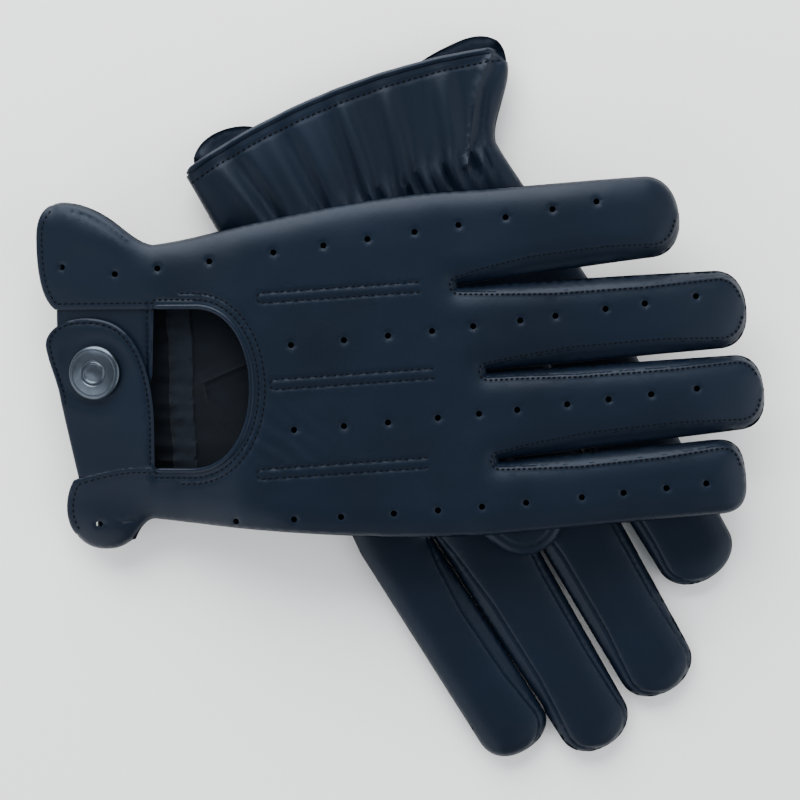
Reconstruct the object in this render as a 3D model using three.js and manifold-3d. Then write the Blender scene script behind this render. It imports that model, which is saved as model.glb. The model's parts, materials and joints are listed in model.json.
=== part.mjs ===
// A pair of leather driving gloves, laid one across the other.
// Millimetres, +Z up. Each glove is drawn flat in its own frame: the wrist's middle is the origin,
// +X runs to the fingertips, +Y to the little finger, the palm's face is z = 0 and the back is above it.
// The right glove lies palm up on the table. The left glove lies back up and droops over it.
import * as THREE from 'three';
import { mergeVertices } from 'three/addons/utils/BufferGeometryUtils.js';
import Module from 'manifold-3d';

const wasm = await Module();
wasm.setup();

// ---- Driving dimensions ---------------------------------------------------------------------------
const LEATHER = 0.9; // thickness of the outer leather
const LINING = 0.5; // thickness of the strap's lining
const GAP = 0.3; // gap between neighbouring pieces
const GLOVE_DEPTH = 10; // palm's face to back's face
const PALM_LENGTH = 115; // wrist to finger roots
const WRIST_WIDTH = 94.6;
const HAND_OFFSET = 6.8; // how far the row of fingers sits towards the little finger
const CUFF_LENGTH = 30; // wrist to the palm's hem
const CUFF_WIDTH = 118; // the palm's hem
const CUFF_OFFSET = 1.5; // the hem's middle, towards the little finger

// Fingers in order from the index, with the reach of each tip past the finger roots.
// square makes a tip blunter than a half ellipse when it is over 2.
const FINGERS = [
  { name: 'index', rootWidth: 25.6, tipWidth: 25.5, reach: 87, square: 2.9 },
  { name: 'middle', rootWidth: 30.4, tipWidth: 25.8, reach: 93.8, square: 2.5 },
  { name: 'ring', rootWidth: 29.4, tipWidth: 26.9, reach: 88, square: 2.3 },
  { name: 'little', rootWidth: 33, tipWidth: 28, reach: 65, square: 2.2 },
];
const FORK_REACH = [4, 0, -10]; // each fork past the finger roots, from the index
const TIP_DEPTH = 11; // length of a finger's rounded end
const SLIT = 0.7; // narrowest gap between two fingers
const TIP_STEPS = 8; // segments in half a fingertip

const THUMB = { rootX: 61, rootY: -33, length: 73.5, turn: 31.5, rootRadius: 14.5, tipRadius: 14, depth: 6.5 };
const THUMB_HOLE_RADIUS = 11;

const KEYHOLE = { top: 25.2, bottom: -29.9, reach: 34, straight: 15 };
const BINDING_WIDTH = 1.7;
const BINDING_DEPTH = 1.5;
const HEM_WIDTH = 2;

const FLAP_REACH = 38.4; // wrist to the edge of the little finger's flap
const FLAP_TOP = 62.8;
const FLAP_CORNER = 32; // wrist to the flap's corner at the keyhole
const LOBE = { reach: 30, low: -59, cornerX: -26.5, cornerY: -34, foot: -54.6, footX: -8 };

const STRAP = { topY: 22.1, tipX: -22, left: -35.4, right: 0.3, waistX: -30.3, waistY: -6.8 };
const UNDERLAP = { left: -31.6, right: 0.7, end: -14, root: 9, weltDepth: 5, thickness: 1 };
const SNAP = { x: -19.4, y: 3.4, capRadius: 9.4, capHeight: 2.6, wall: 0.6 };
const SOCKET = { outer: 5.2, inner: 2.6, flange: 7.2, sheet: 0.6 };
const STUD = { radius: 2.2, flange: 4.8, sheet: 0.3, bore: 1.6 };
const POST = { radius: 1.2, flange: 6, sheet: 0.6 };

const ELASTIC = { width: 8.8, thickness: 0.8, x: 9.4, lean: 3, inset: 5.3 }; // inset from the wrist's edges

const POINT_WIDTH = 3.4; // between the two rows of a point's stitching
const POINT_TURN = 4; // degrees
// Each starts past the keyhole's reach and ends short of its finger roots.
const POINTS = [
  { name: 'index', pastKeyhole: 4, short: 21 },
  { name: 'middle', pastKeyhole: 8.5, short: 19 },
  { name: 'little', pastKeyhole: 4, short: 24 },
];
const THREAD = 0.8;

const WRIST_RECESS = 3.8; // the wrist sits this far towards the palm, which leaves room for the strap
const RECESS_FROM = 8; // the recess ends between these two distances from the wrist
const RECESS_TO = 32;
const RECESS_STEPS = 4;

const LOWER_TURN = -67.2; // how far the right glove is turned against the left one
const LOWER_WRIST = [75.2, 65.7]; // the right glove's wrist in the left glove's frame
const PLATEAU = [-66, 60]; // where the left glove lies level, across the right glove
const CUFF_RAMP = -86; // from here outward the left cuff is a straight slope
const FINGERTIP_DROOP = 8;
const DROOP_END = 105;
const DROOP_STEPS = 4;
const TABLE_CLEARANCE = 0.4;

// How the two gloves' fingers lie: the gap between neighbouring tips and how much shorter a tip looks.
const LEFT_POSE = { tipGaps: [3.2, 2, 4.7], shorter: [0, 0, 0, 0], middleTipY: -2.5 };
const RIGHT_POSE = { tipGaps: [0.9, 5, 0.9], shorter: [0, 0, 2, 10], middleTipY: -2 };

const COLOURS = {
  leather: { color: 0x161f2b, roughness: 0.45, metalness: 0 },
  suede: { color: 0x1b222c, roughness: 0.95, metalness: 0 },
  elastic: { color: 0x353c46, roughness: 1, metalness: 0 },
  thread: { color: 0x10161f, roughness: 0.8, metalness: 0 },
  snap: { color: 0x8f9296, roughness: 0.3, metalness: 1 },
};

// ---- Values that follow from them -------------------------------------------------------------------
const radians = THREE.MathUtils.degToRad;
const point = (x, y) => new THREE.Vector2(x, y);
const handWidth = FINGERS.reduce((sum, finger) => sum + finger.rootWidth, 0);
const radialEdge = HAND_OFFSET - handWidth / 2;
const ulnarEdge = HAND_OFFSET + handWidth / 2;
const forks = FORK_REACH.map((reach, i) => {
  const width = FINGERS.slice(0, i + 1).reduce((sum, finger) => sum + finger.rootWidth, 0);
  return point(PALM_LENGTH + reach, radialEdge + width);
});
const thumbLayer = THUMB.depth + GAP;
const stackHeight = GLOVE_DEPTH + 2 * thumbLayer + GAP;
const backOuter = GLOVE_DEPTH;
const backInner = GLOVE_DEPTH - LEATHER;
const liningTop = backInner - 0.8 * GAP;
const liningBottom = liningTop - LINING;
const underlapTop = liningBottom - 0.8 * GAP;
const underlapBottom = underlapTop - UNDERLAP.thickness;
const mouthTop = CUFF_OFFSET + CUFF_WIDTH / 2;
const mouthBottom = CUFF_OFFSET - CUFF_WIDTH / 2;
const lowerCos = Math.cos(radians(LOWER_TURN));
const lowerSin = Math.sin(radians(LOWER_TURN));

// Distance across the right glove, from its wrist's middle line, of a place on the left glove.
const across = (x, y) => -(x - LOWER_WRIST[0]) * lowerSin + (y - LOWER_WRIST[1]) * lowerCos;
const farCorner = across(-CUFF_LENGTH - HEM_WIDTH, mouthBottom);
const rampRun = (PLATEAU[0] - CUFF_RAMP) / 2 + CUFF_RAMP - farCorner;
const rampSlope = (stackHeight - WRIST_RECESS - TABLE_CLEARANCE) / rampRun;

// ---- Flat outlines ------------------------------------------------------------------------------------
function bezier(a, b, c, d, steps) {
  return new THREE.CubicBezierCurve(point(...a), point(...b), point(...c), point(...d)).getPoints(steps);
}

const towards = (from, to, distance) => from.clone().addScaledVector(to.clone().sub(from).normalize(), distance);

// Points of one path after another, without the doubled ones.
function chain(...paths) {
  const out = [];
  for (const p of paths.flat()) {
    const last = out.at(-1);
    if (!last || last.distanceTo(p) > 1e-6) out.push(p);
  }
  if (out.length > 2 && out[0].distanceTo(out.at(-1)) < 1e-6) out.pop();
  return out;
}

// A finger's two sides: from the root on the index's side to the tip, and from the tip to the other root.
function fingerSides(i, pose) {
  const finger = FINGERS[i];
  const start = i === 0 ? point(PALM_LENGTH, radialEdge) : point(forks[i - 1].x, forks[i - 1].y + SLIT / 2);
  const end = i === 3 ? point(PALM_LENGTH, ulnarEdge) : point(forks[i].x, forks[i].y - SLIT / 2);
  const tip = point(PALM_LENGTH + finger.reach - pose.shorter[i], tipHeights(pose)[i]);
  const axis = tip.clone().sub(start.clone().add(end).multiplyScalar(0.5)).normalize();
  const side = point(-axis.y, axis.x);
  const arc = [];
  for (let step = -TIP_STEPS; step <= TIP_STEPS; step++) {
    const turn = (step / TIP_STEPS) * Math.PI / 2;
    const along = TIP_DEPTH * (Math.abs(Math.cos(turn)) ** (2 / finger.square) - 1);
    const sideways = Math.sign(turn) * Math.abs(Math.sin(turn)) ** (2 / finger.square) * finger.tipWidth / 2;
    arc.push(tip.clone().addScaledVector(axis, along).addScaledVector(side, sideways));
  }
  return { first: chain([start], arc.slice(0, TIP_STEPS + 1)), second: chain(arc.slice(TIP_STEPS), [end]) };
}

// Where the tips lie across the hand, side by side with the pose's gaps.
function tipHeights(pose) {
  const middle = pose.middleTipY;
  const apart = (i) => (FINGERS[i].tipWidth + FINGERS[i + 1].tipWidth) / 2 + pose.tipGaps[i];
  return [middle - apart(0), middle, middle + apart(1), middle + apart(1) + apart(2)];
}

const half = WRIST_WIDTH / 2;
const radialSide = () => bezier([0, -half], [30, -half - 3], [70, radialEdge - 2], [PALM_LENGTH, radialEdge], 7);
const ulnarSide = () => bezier([PALM_LENGTH, ulnarEdge], [65, ulnarEdge - 1.4], [22, half + 2.5], [0, half], 8);
const lobeSide = () => bezier([LOBE.footX, LOBE.foot], [-5, -half - 3], [-3, -half], [0, -half], 4);
const flapSide = () => bezier([0, half], [-8, half + 1], [-15, FLAP_TOP - 3], [-26, FLAP_TOP - 0.8], 6);

function fingersOutline(pose) {
  const paths = FINGERS.map((finger, i) => {
    const sides = fingerSides(i, pose);
    return chain(sides.first, sides.second);
  });
  return paths.flat();
}

// The keyhole's D from its top corner round to its bottom corner, grown outward by a margin.
function keyholePath(margin) {
  const top = KEYHOLE.top + margin;
  const bottom = KEYHOLE.bottom - margin;
  const reach = KEYHOLE.reach + margin;
  const middle = (top + bottom) / 2;
  const start = KEYHOLE.straight;
  const round = (top - bottom) * 0.28;
  return chain(
    [point(0, top)],
    bezier([start, top], [start + 12, top], [reach, middle + round], [reach, middle], 8),
    bezier([reach, middle], [reach, middle - round], [start + 12, bottom], [start - 2, bottom], 8),
    [point(0, bottom)],
  );
}

function backOutline(pose) {
  const cut = BINDING_WIDTH + GAP;
  const notchTop = [point(-GAP, KEYHOLE.top), point(-GAP, KEYHOLE.top + cut)];
  const notchBottom = [point(-GAP, KEYHOLE.bottom - cut), point(-GAP, KEYHOLE.bottom - GAP)];
  const flapRound = bezier([-26, FLAP_TOP - 0.8], [-33, FLAP_TOP + 1], [-FLAP_REACH, FLAP_TOP - 3],
    [-FLAP_REACH, FLAP_TOP - 13], 6);
  const flapEdge = bezier([-FLAP_REACH, FLAP_TOP - 13], [-FLAP_REACH, 38], [-37, 29],
    [-FLAP_CORNER, KEYHOLE.top], 5);
  const lobeRound = bezier([LOBE.cornerX, LOBE.cornerY], [-LOBE.reach - 2, -44], [-LOBE.reach + 2, LOBE.low],
    [-17, LOBE.low + 0.8], 7);
  const lobeFoot = bezier([-17, LOBE.low + 0.8], [-13, LOBE.low + 0.8], [-10, LOBE.foot - 1.6],
    [LOBE.footX, LOBE.foot], 3);
  return chain(radialSide(), fingersOutline(pose), ulnarSide(), flapSide(), flapRound, flapEdge,
    notchTop, keyholePath(cut), notchBottom, lobeRound, lobeFoot, lobeSide());
}

function palmOutline(pose) {
  return chain(radialSide(), fingersOutline(pose), ulnarSide(), flapSide(),
    [point(-CUFF_LENGTH, mouthTop)], [point(-CUFF_LENGTH, mouthBottom)], lobeSide());
}

// The outer wall's line on the little finger's side, and on the index's side.
const ulnarWall = (pose) => chain(fingerSides(3, pose).second, ulnarSide(), flapSide());
const radialWall = (pose) => chain(lobeSide(), radialSide(), fingerSides(0, pose).first);

function circle(x, y, radius, steps) {
  const path = new THREE.Path();
  path.absarc(x, y, radius, 0, 2 * Math.PI, false);
  return path.getPoints(steps).slice(0, -1);
}

// Two round ends joined by straight tangents.
function capsule(a, b, radiusA, radiusB, steps) {
  const turn = Math.atan2(b.y - a.y, b.x - a.x);
  const path = new THREE.Path();
  path.absarc(a.x, a.y, radiusA, turn + Math.PI / 2, turn + 1.5 * Math.PI, false);
  path.absarc(b.x, b.y, radiusB, turn - Math.PI / 2, turn + Math.PI / 2, false);
  return chain(path.getPoints(steps));
}

// A strip of the given width on the left of a path.
function band(path, width) {
  const inner = path.map((p, i) => {
    const before = path[Math.max(i - 1, 0)];
    const after = path[Math.min(i + 1, path.length - 1)];
    const one = p.clone().sub(before).normalize();
    const two = after.clone().sub(p).normalize();
    const way = one.clone().add(two).normalize();
    const mitre = Math.max(way.dot(two.lengthSq() > 0 ? two : one), 0.5);
    return p.clone().add(point(-way.y, way.x).multiplyScalar(width / mitre));
  });
  return [...path, ...inner.reverse()];
}

// ---- Solids ---------------------------------------------------------------------------------------------
// Splits a flat outline where field(x, y) changes sign, and gives the pieces on both sides.
function splitOutline(outline, field) {
  const ring = [];
  outline.forEach((a, i) => {
    const b = outline[(i + 1) % outline.length];
    const [ha, hb] = [field(a.x, a.y), field(b.x, b.y)];
    ring.push({ at: a, side: Math.sign(ha), cut: false });
    if (ha * hb < 0) ring.push({ at: a.clone().lerp(b, ha / (ha - hb)), side: 0, cut: true });
  });
  const cuts = ring.map((_, i) => i).filter((i) => ring[i].cut);
  if (cuts.length === 0) return [outline];
  const line = ring[cuts[1]].at.clone().sub(ring[cuts[0]].at);
  const sorted = [...cuts].sort((a, b) => ring[a].at.dot(line) - ring[b].at.dot(line));
  const partner = new Map(sorted.map((i, k) => [i, sorted[k % 2 ? k - 1 : k + 1]]));
  const unused = new Set(cuts);
  const pieces = [];
  while (unused.size) {
    const start = unused.values().next().value;
    const piece = [];
    let i = start;
    do {
      unused.delete(i);
      piece.push(ring[i].at);
      for (i = (i + 1) % ring.length; !ring[i].cut; i = (i + 1) % ring.length) piece.push(ring[i].at);
      piece.push(ring[i].at);
      i = partner.get(i);
    } while (i !== start);
    pieces.push(piece);
  }
  return pieces;
}

// A flat plate between two heights, scored along the pose's fold lines so that it can be bent there.
function slab(pose, outline, low, high, holes = []) {
  const turn = THREE.ShapeUtils.isClockWise(outline) ? [...outline].reverse() : outline;
  const pieces = pose.folds.reduce((sum, fold) => sum.flatMap((piece) => splitOutline(piece, fold)), [turn]);
  const corners = [];
  const edges = new Map();
  const name = (p) => `${p.x.toFixed(6)} ${p.y.toFixed(6)}`;
  for (const piece of pieces) {
    for (const face of THREE.ShapeUtils.triangulateShape(piece, [])) {
      const [a, b, c] = face.map((k) => piece[k]);
      corners.push([a, high], [b, high], [c, high], [c, low], [b, low], [a, low]);
    }
    piece.forEach((a, i) => {
      const b = piece[(i + 1) % piece.length];
      if (!edges.delete(`${name(b)} ${name(a)}`)) edges.set(`${name(a)} ${name(b)}`, [a, b]);
    });
  }
  for (const [a, b] of edges.values()) corners.push([a, low], [b, low], [b, high], [a, low], [b, high], [a, high]);
  const geometry = new THREE.BufferGeometry();
  geometry.setFromPoints(corners.map(([p, z]) => new THREE.Vector3(p.x, p.y, z)));
  return holes.reduce((plate, hole) => cutBy(plate, punch(hole)), laid(pose, geometry));
}

// An upright cutter, tall enough for any height that a plate is bent to.
function punch(outline) {
  const depth = 4 * stackHeight;
  return new THREE.ExtrudeGeometry(new THREE.Shape(outline), { depth, bevelEnabled: false })
    .translate(0, 0, -depth / 2);
}

function plain(geometry) {
  for (const name of ['normal', 'uv']) geometry.deleteAttribute(name);
  return mergeVertices(geometry, 1e-5);
}

function toSolid(geometry) {
  const merged = plain(geometry);
  return new wasm.Manifold(new wasm.Mesh({
    numProp: 3,
    vertProperties: new Float32Array(merged.attributes.position.array),
    triVerts: new Uint32Array(merged.index.array),
  }));
}

function fromSolid(solid) {
  const mesh = solid.getMesh();
  const geometry = new THREE.BufferGeometry();
  geometry.setAttribute('position', new THREE.BufferAttribute(new Float32Array(mesh.vertProperties), 3));
  geometry.setIndex(new THREE.BufferAttribute(new Uint32Array(mesh.triVerts), 1));
  return geometry;
}

const joined = (...pieces) => fromSolid(pieces.map(toSolid).reduce((sum, solid) => sum.add(solid)));
const cutBy = (piece, cutter) => fromSolid(toSolid(piece).subtract(toSolid(cutter)));

// A turned solid about a vertical axis through (x, y), from radius and height pairs.
function turned(pose, profile, x, y, segments) {
  const geometry = new THREE.LatheGeometry(profile.map(([r, z]) => point(r, z)), segments);
  return laid(pose, geometry.rotateX(Math.PI / 2).translate(x, y, 0));
}

// ---- Lying: the wrist's recess and the drape over the other glove ------------------------------------------
const smooth = (t) => t * t * (3 - 2 * t);

function recess(x) {
  const t = THREE.MathUtils.clamp((x - RECESS_FROM) / (RECESS_TO - RECESS_FROM), 0, 1);
  return WRIST_RECESS * (1 - smooth(t));
}

function lift(x, y) {
  const s = across(x, y);
  const bend = PLATEAU[0] - CUFF_RAMP;
  if (s < CUFF_RAMP) return stackHeight - rampSlope * (bend / 2 + CUFF_RAMP - s);
  if (s < PLATEAU[0]) return stackHeight - rampSlope * (PLATEAU[0] - s) ** 2 / (2 * bend);
  if (s > PLATEAU[1]) return stackHeight - FINGERTIP_DROOP * ((s - PLATEAU[1]) / (DROOP_END - PLATEAU[1])) ** 2;
  return stackHeight;
}

const steps = (from, to, count) => Array.from({ length: count + 1 }, (_, i) => from + (to - from) * i / count);
const recessFolds = steps(RECESS_FROM, RECESS_TO, RECESS_STEPS).map((level) => (x) => x - level);
const drapeFolds = [...steps(CUFF_RAMP, PLATEAU[0], DROOP_STEPS), ...steps(PLATEAU[1], DROOP_END, DROOP_STEPS)]
  .map((level) => (x, y) => across(x, y) - level);

// Bends a piece to lie as its glove does.
function laid(pose, geometry) {
  const piece = plain(geometry);
  const position = piece.attributes.position;
  for (let i = 0; i < position.count; i++) {
    const x = position.getX(i);
    const y = position.getY(i);
    position.setZ(i, position.getZ(i) - recess(x) + (pose.draped ? lift(x, y) : 0));
  }
  return piece;
}

// ---- Pieces ------------------------------------------------------------------------------------------------
// The point's centre line starts short of its fork and runs back up the hand.
function pointPath(i, width) {
  const spec = POINTS[i];
  const turn = radians(POINT_TURN);
  const from = KEYHOLE.reach + spec.pastKeyhole;
  const end = point(PALM_LENGTH - spec.short, forks[i].y - 0.6);
  const start = point(from, end.y - (end.x - from) * Math.tan(turn));
  const side = point(-Math.sin(turn), Math.cos(turn)).multiplyScalar(width / 2);
  const path = new THREE.Path();
  path.moveTo(end.x + side.x, end.y + side.y);
  path.absarc(start.x, start.y, width / 2, turn + Math.PI / 2, turn + 1.5 * Math.PI, false);
  path.lineTo(end.x - side.x, end.y - side.y);
  return chain(path.getPoints(4));
}

// The U of one point's stitching, or the slot that it lies in.
function pointShape(i, margin) {
  const width = THREAD + 2 * margin;
  const path = pointPath(i, POINT_WIDTH + width);
  const first = path[0].clone().sub(path[1]).normalize().multiplyScalar(margin);
  path[0].add(first);
  path.at(-1).add(first);
  return band(path, width);
}

function backPanel(pose) {
  const wallLow = GLOVE_DEPTH / 2 + GAP / 2;
  const slots = POINTS.map((_, i) => pointShape(i, GAP));
  return joined(
    slab(pose, backOutline(pose), backInner, backOuter, slots),
    slab(pose, band(ulnarWall(pose), LEATHER), wallLow, backInner + LEATHER / 2),
    slab(pose, band(radialWall(pose), LEATHER), wallLow, backInner + LEATHER / 2),
  );
}

function palmPanel(pose) {
  const wallHigh = GLOVE_DEPTH / 2 - GAP / 2;
  const hole = circle(THUMB.rootX, THUMB.rootY, THUMB_HOLE_RADIUS, 20);
  return joined(
    slab(pose, palmOutline(pose), 0, LEATHER, [hole]),
    slab(pose, band(ulnarWall(pose), LEATHER), LEATHER / 2, wallHigh),
    slab(pose, band(radialWall(pose), LEATHER), LEATHER / 2, wallHigh),
  );
}

// The strip between two fingers, from one tip round the fork to the next tip.
function fourchette(i, pose) {
  const path = chain(fingerSides(i, pose).second, fingerSides(i + 1, pose).first);
  path[0] = towards(path[0], path[1], GAP);
  path[path.length - 1] = towards(path.at(-1), path.at(-2), GAP);
  return slab(pose, band(path, LEATHER), LEATHER + GAP, backInner - GAP);
}

function thumb(pose) {
  const root = point(THUMB.rootX, THUMB.rootY);
  const way = point(Math.cos(radians(THUMB.turn)), Math.sin(radians(THUMB.turn)));
  const tip = root.clone().addScaledVector(way, THUMB.length);
  const shell = slab(pose, capsule(root, tip, THUMB.rootRadius, THUMB.tipRadius, 12), -thumbLayer, -GAP);
  const inner = capsule(root, tip, THUMB.rootRadius - LEATHER, THUMB.tipRadius - LEATHER, 12);
  const hollow = slab(pose, inner, LEATHER - thumbLayer, -GAP - LEATHER);
  const mouth = slab(pose, circle(root.x, root.y, THUMB_HOLE_RADIUS, 20), -GAP - 2 * LEATHER, 1);
  return cutBy(cutBy(shell, hollow), mouth);
}

// The strap's tongue, from its root at the lobe round its free end.
function strapOutline(inset) {
  const rootLow = point(LOBE.cornerX + 1.5 + inset, LOBE.cornerY + 0.3 + GAP + inset);
  const rootHigh = point(STRAP.right - inset, KEYHOLE.bottom + GAP + inset);
  const tip = [STRAP.tipX, STRAP.topY - inset];
  return chain(
    [rootLow, rootHigh],
    bezier([STRAP.right - inset, -10.5], [-3, 1], [-3 - inset, STRAP.topY - 1 - inset], tip, 8),
    bezier(tip, [-30, STRAP.topY - inset], [STRAP.left - 1 + inset, 17], [STRAP.left + inset, 12], 6),
    bezier([STRAP.left + inset, 12], [STRAP.left + 1 + inset, 6], [STRAP.waistX - 0.8 + inset, 0],
      [STRAP.waistX + inset, STRAP.waistY], 3),
  );
}

const snapHole = () => circle(SNAP.x, SNAP.y, SOCKET.outer + GAP, 16);

function underlap(pose) {
  const { left, right, end, root, weltDepth, thickness } = UNDERLAP;
  const top = KEYHOLE.top + root;
  const round = bezier([left, end + 16], [left, end], [right - 6, end], [right - 1, end + 16], 8);
  const tab = slab(pose, chain([point(left, top)], round, [point(right, top)]), underlapTop - thickness, underlapTop,
    [circle(SNAP.x, SNAP.y, POST.radius + GAP, 12)]);
  const weltLow = top - weltDepth;
  const weltOutline = [point(left, weltLow), point(right, weltLow), point(right, top), point(left, top)];
  const welt = slab(pose, weltOutline, underlapTop - thickness / 2, backInner - GAP);
  return joined(tab, welt);
}

function keyholeBinding(pose) {
  const path = keyholePath(BINDING_WIDTH);
  return slab(pose, band(path.reverse(), BINDING_WIDTH), backOuter - BINDING_DEPTH, backOuter);
}

function cuffHem(pose) {
  const near = -CUFF_LENGTH - GAP;
  const outline = [point(near - HEM_WIDTH, mouthBottom), point(near, mouthBottom),
    point(near, mouthTop), point(near - HEM_WIDTH, mouthTop)];
  return slab(pose, outline, 0, BINDING_DEPTH);
}

function wristElastic(pose) {
  const { width, thickness, x, lean, inset } = ELASTIC;
  const span = WRIST_WIDTH - 2 * inset;
  const outline = [point(x - width / 2 + lean / 2, -span / 2), point(x + width / 2 + lean / 2, -span / 2),
    point(x + width / 2 - lean / 2, span / 2), point(x - width / 2 - lean / 2, span / 2)];
  return slab(pose, outline, LEATHER + GAP, LEATHER + GAP + thickness);
}

function snapCap(pose) {
  const base = backOuter + GAP;
  const { capRadius: r, capHeight: h, wall } = SNAP;
  const dome = [[0, base + h], [r * 0.45, base + h - 0.1], [r * 0.8, base + h - 0.7], [r * 0.96, base + h - 1.5],
    [r, base + h - 2], [r, base]];
  const inside = [[r - wall, base], [r - wall, base + h - 2], [r * 0.8 - wall, base + h - 0.8 - wall],
    [0, base + h - 0.1 - wall]];
  return turned(pose, [...dome, ...inside].reverse(), SNAP.x, SNAP.y, 28);
}

function snapSocket(pose) {
  const { outer, inner, flange, sheet } = SOCKET;
  const low = backInner - 0.1;
  const top = backOuter + GAP + sheet;
  const profile = [[inner, low], [outer, low], [outer, backOuter + GAP], [flange, backOuter + GAP], [flange, top],
    [inner, top], [inner, low]];
  return turned(pose, profile, SNAP.x, SNAP.y, 24);
}

function snapStud(pose) {
  const { radius, flange, sheet, bore } = STUD;
  const low = underlapTop + GAP;
  const top = backOuter + GAP;
  const profile = [[bore, low], [flange, low], [flange, low + sheet], [radius, low + sheet + 0.2], [radius, top - 0.4],
    [radius - 0.4, top], [0, top], [0, top - LEATHER / 2], [bore, top - LEATHER / 2], [bore, low]];
  return turned(pose, profile, SNAP.x, SNAP.y, 20);
}

function snapPost(pose) {
  const { radius, flange, sheet } = POST;
  const low = underlapBottom - GAP - sheet;
  const profile = [[0, low], [flange, low], [flange, low + sheet], [radius, low + sheet],
    [radius, backOuter - LEATHER], [0, backOuter - LEATHER]];
  return turned(pose, profile, SNAP.x, SNAP.y, 20);
}

// ---- The two gloves --------------------------------------------------------------------------------------------
function glovePieces(pose) {
  const pieces = [
    ['back_panel', 'leather', backPanel(pose)],
    ['palm_panel', 'leather', palmPanel(pose)],
    ['fourchette_index_middle', 'leather', fourchette(0, pose)],
    ['fourchette_middle_ring', 'leather', fourchette(1, pose)],
    ['fourchette_ring_little', 'leather', fourchette(2, pose)],
    ['thumb', 'leather', thumb(pose)],
    ['strap', 'leather', slab(pose, strapOutline(0), backInner, backOuter, [snapHole()])],
    ['strap_lining', 'suede', slab(pose, strapOutline(1), liningBottom, liningTop, [snapHole()])],
    ['underlap', 'leather', underlap(pose)],
    ['keyhole_binding', 'leather', keyholeBinding(pose)],
    ['cuff_hem', 'leather', cuffHem(pose)],
    ['wrist_elastic', 'elastic', wristElastic(pose)],
    ['snap_cap', 'snap', snapCap(pose)],
    ['snap_socket', 'snap', snapSocket(pose)],
    ['snap_stud', 'snap', snapStud(pose)],
    ['snap_post', 'snap', snapPost(pose)],
  ];
  POINTS.forEach((spec, i) => {
    const stitching = slab(pose, pointShape(i, 0), backInner + 0.1, backOuter - 0.1);
    pieces.push([`point_stitching_${spec.name}`, 'thread', stitching]);
  });
  return pieces;
}

function glove(side, pose) {
  const group = new THREE.Group();
  for (const [name, kind, geometry] of glovePieces(pose)) {
    const material = new THREE.MeshStandardMaterial(COLOURS[kind]);
    const mesh = new THREE.Mesh(geometry, material);
    mesh.name = `${side}_${name}`;
    group.add(mesh);
  }
  return group;
}

const left = glove('left', { ...LEFT_POSE, draped: true, folds: [...recessFolds, ...drapeFolds] });
const right = glove('right', { ...RIGHT_POSE, draped: false, folds: recessFolds });
right.scale.z = -1;
right.rotation.z = radians(LOWER_TURN);
right.position.set(...LOWER_WRIST, GLOVE_DEPTH);

const pair = new THREE.Group();
pair.add(left, right);
const box = new THREE.Box3().setFromObject(pair, true);
pair.position.set(-(box.min.x + box.max.x) / 2, -(box.min.y + box.max.y) / 2, -box.min.z);

const gloves = new THREE.Group();
gloves.add(pair);
export default gloves;
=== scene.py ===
# A pair of leather driving gloves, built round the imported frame.
# The scene is in metres and the patterns are in millimetres. Each glove is drafted flat as in the frame: the
# wrist's middle is the origin, +X runs to the fingertips, +Y to the little finger, the palm's face is z = 0
# and the back is above it.
import json
import math

import bpy
import numpy as np
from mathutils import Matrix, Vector, noise
from mathutils.geometry import delaunay_2d_cdt


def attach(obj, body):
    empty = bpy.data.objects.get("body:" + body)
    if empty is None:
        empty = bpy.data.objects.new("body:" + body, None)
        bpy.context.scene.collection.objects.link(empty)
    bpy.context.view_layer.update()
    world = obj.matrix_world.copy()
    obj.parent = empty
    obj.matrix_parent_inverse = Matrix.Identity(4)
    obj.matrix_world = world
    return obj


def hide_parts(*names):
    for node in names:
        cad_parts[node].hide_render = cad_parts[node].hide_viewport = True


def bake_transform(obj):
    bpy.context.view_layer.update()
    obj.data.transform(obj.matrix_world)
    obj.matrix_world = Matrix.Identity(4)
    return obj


bl_info = {
    "name": "Driving Gloves",
    "version": (1, 0, 0),
    "blender": (4, 5, 0),
    "location": "3D View > Sidebar > Gloves",
    "description": "Builds a pair of leather driving gloves, one laid across the other",
    "category": "Add Mesh",
}

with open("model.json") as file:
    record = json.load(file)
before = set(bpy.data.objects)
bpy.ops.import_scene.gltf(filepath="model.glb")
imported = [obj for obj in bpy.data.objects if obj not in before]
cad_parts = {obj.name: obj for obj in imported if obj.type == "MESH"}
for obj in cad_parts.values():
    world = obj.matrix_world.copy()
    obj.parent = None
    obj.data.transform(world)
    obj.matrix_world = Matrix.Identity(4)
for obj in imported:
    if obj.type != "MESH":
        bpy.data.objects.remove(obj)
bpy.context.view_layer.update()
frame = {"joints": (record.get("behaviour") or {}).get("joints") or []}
JOINTS = {joint["name"]: joint for joint in frame["joints"]}
MM = 0.001

# ---- The pattern, in millimetres -----------------------------------------------------------------
LEATHER = 0.9
GLOVE_DEPTH = 10
PALM_LENGTH = 115
WRIST_WIDTH = 94.6
HAND_OFFSET = 6.8
CUFF_LENGTH = 30
CUFF_WIDTH = 118
CUFF_OFFSET = 1.5
FINGERS = [
    {"root": 25.6, "tip": 25.5, "reach": 87, "square": 2.9},
    {"root": 30.4, "tip": 25.8, "reach": 93.8, "square": 2.5},
    {"root": 29.4, "tip": 26.9, "reach": 88, "square": 2.3},
    {"root": 33, "tip": 28, "reach": 65, "square": 2.2},
]
FORK_REACH = [4, 0, -10]
TIP_DEPTH = 11
SLIT = 0.7
THUMB = {"x": 61, "y": -33, "length": 73.5, "turn": 31.5, "root": 14.5, "tip": 14, "depth": 6.5}
THUMB_GAP = 0.3
KEYHOLE = {"top": 25.2, "bottom": -29.9, "reach": 34, "straight": 15}
BINDING_WIDTH = 1.7
FLAP_REACH = 38.4
FLAP_TOP = 62.8
FLAP_CORNER = 32
LOBE_LAP = 1.3
LOBE = {"reach": 30, "low": -59, "corner": (-26.5, -34), "foot": (-8, -54.6)}
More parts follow.
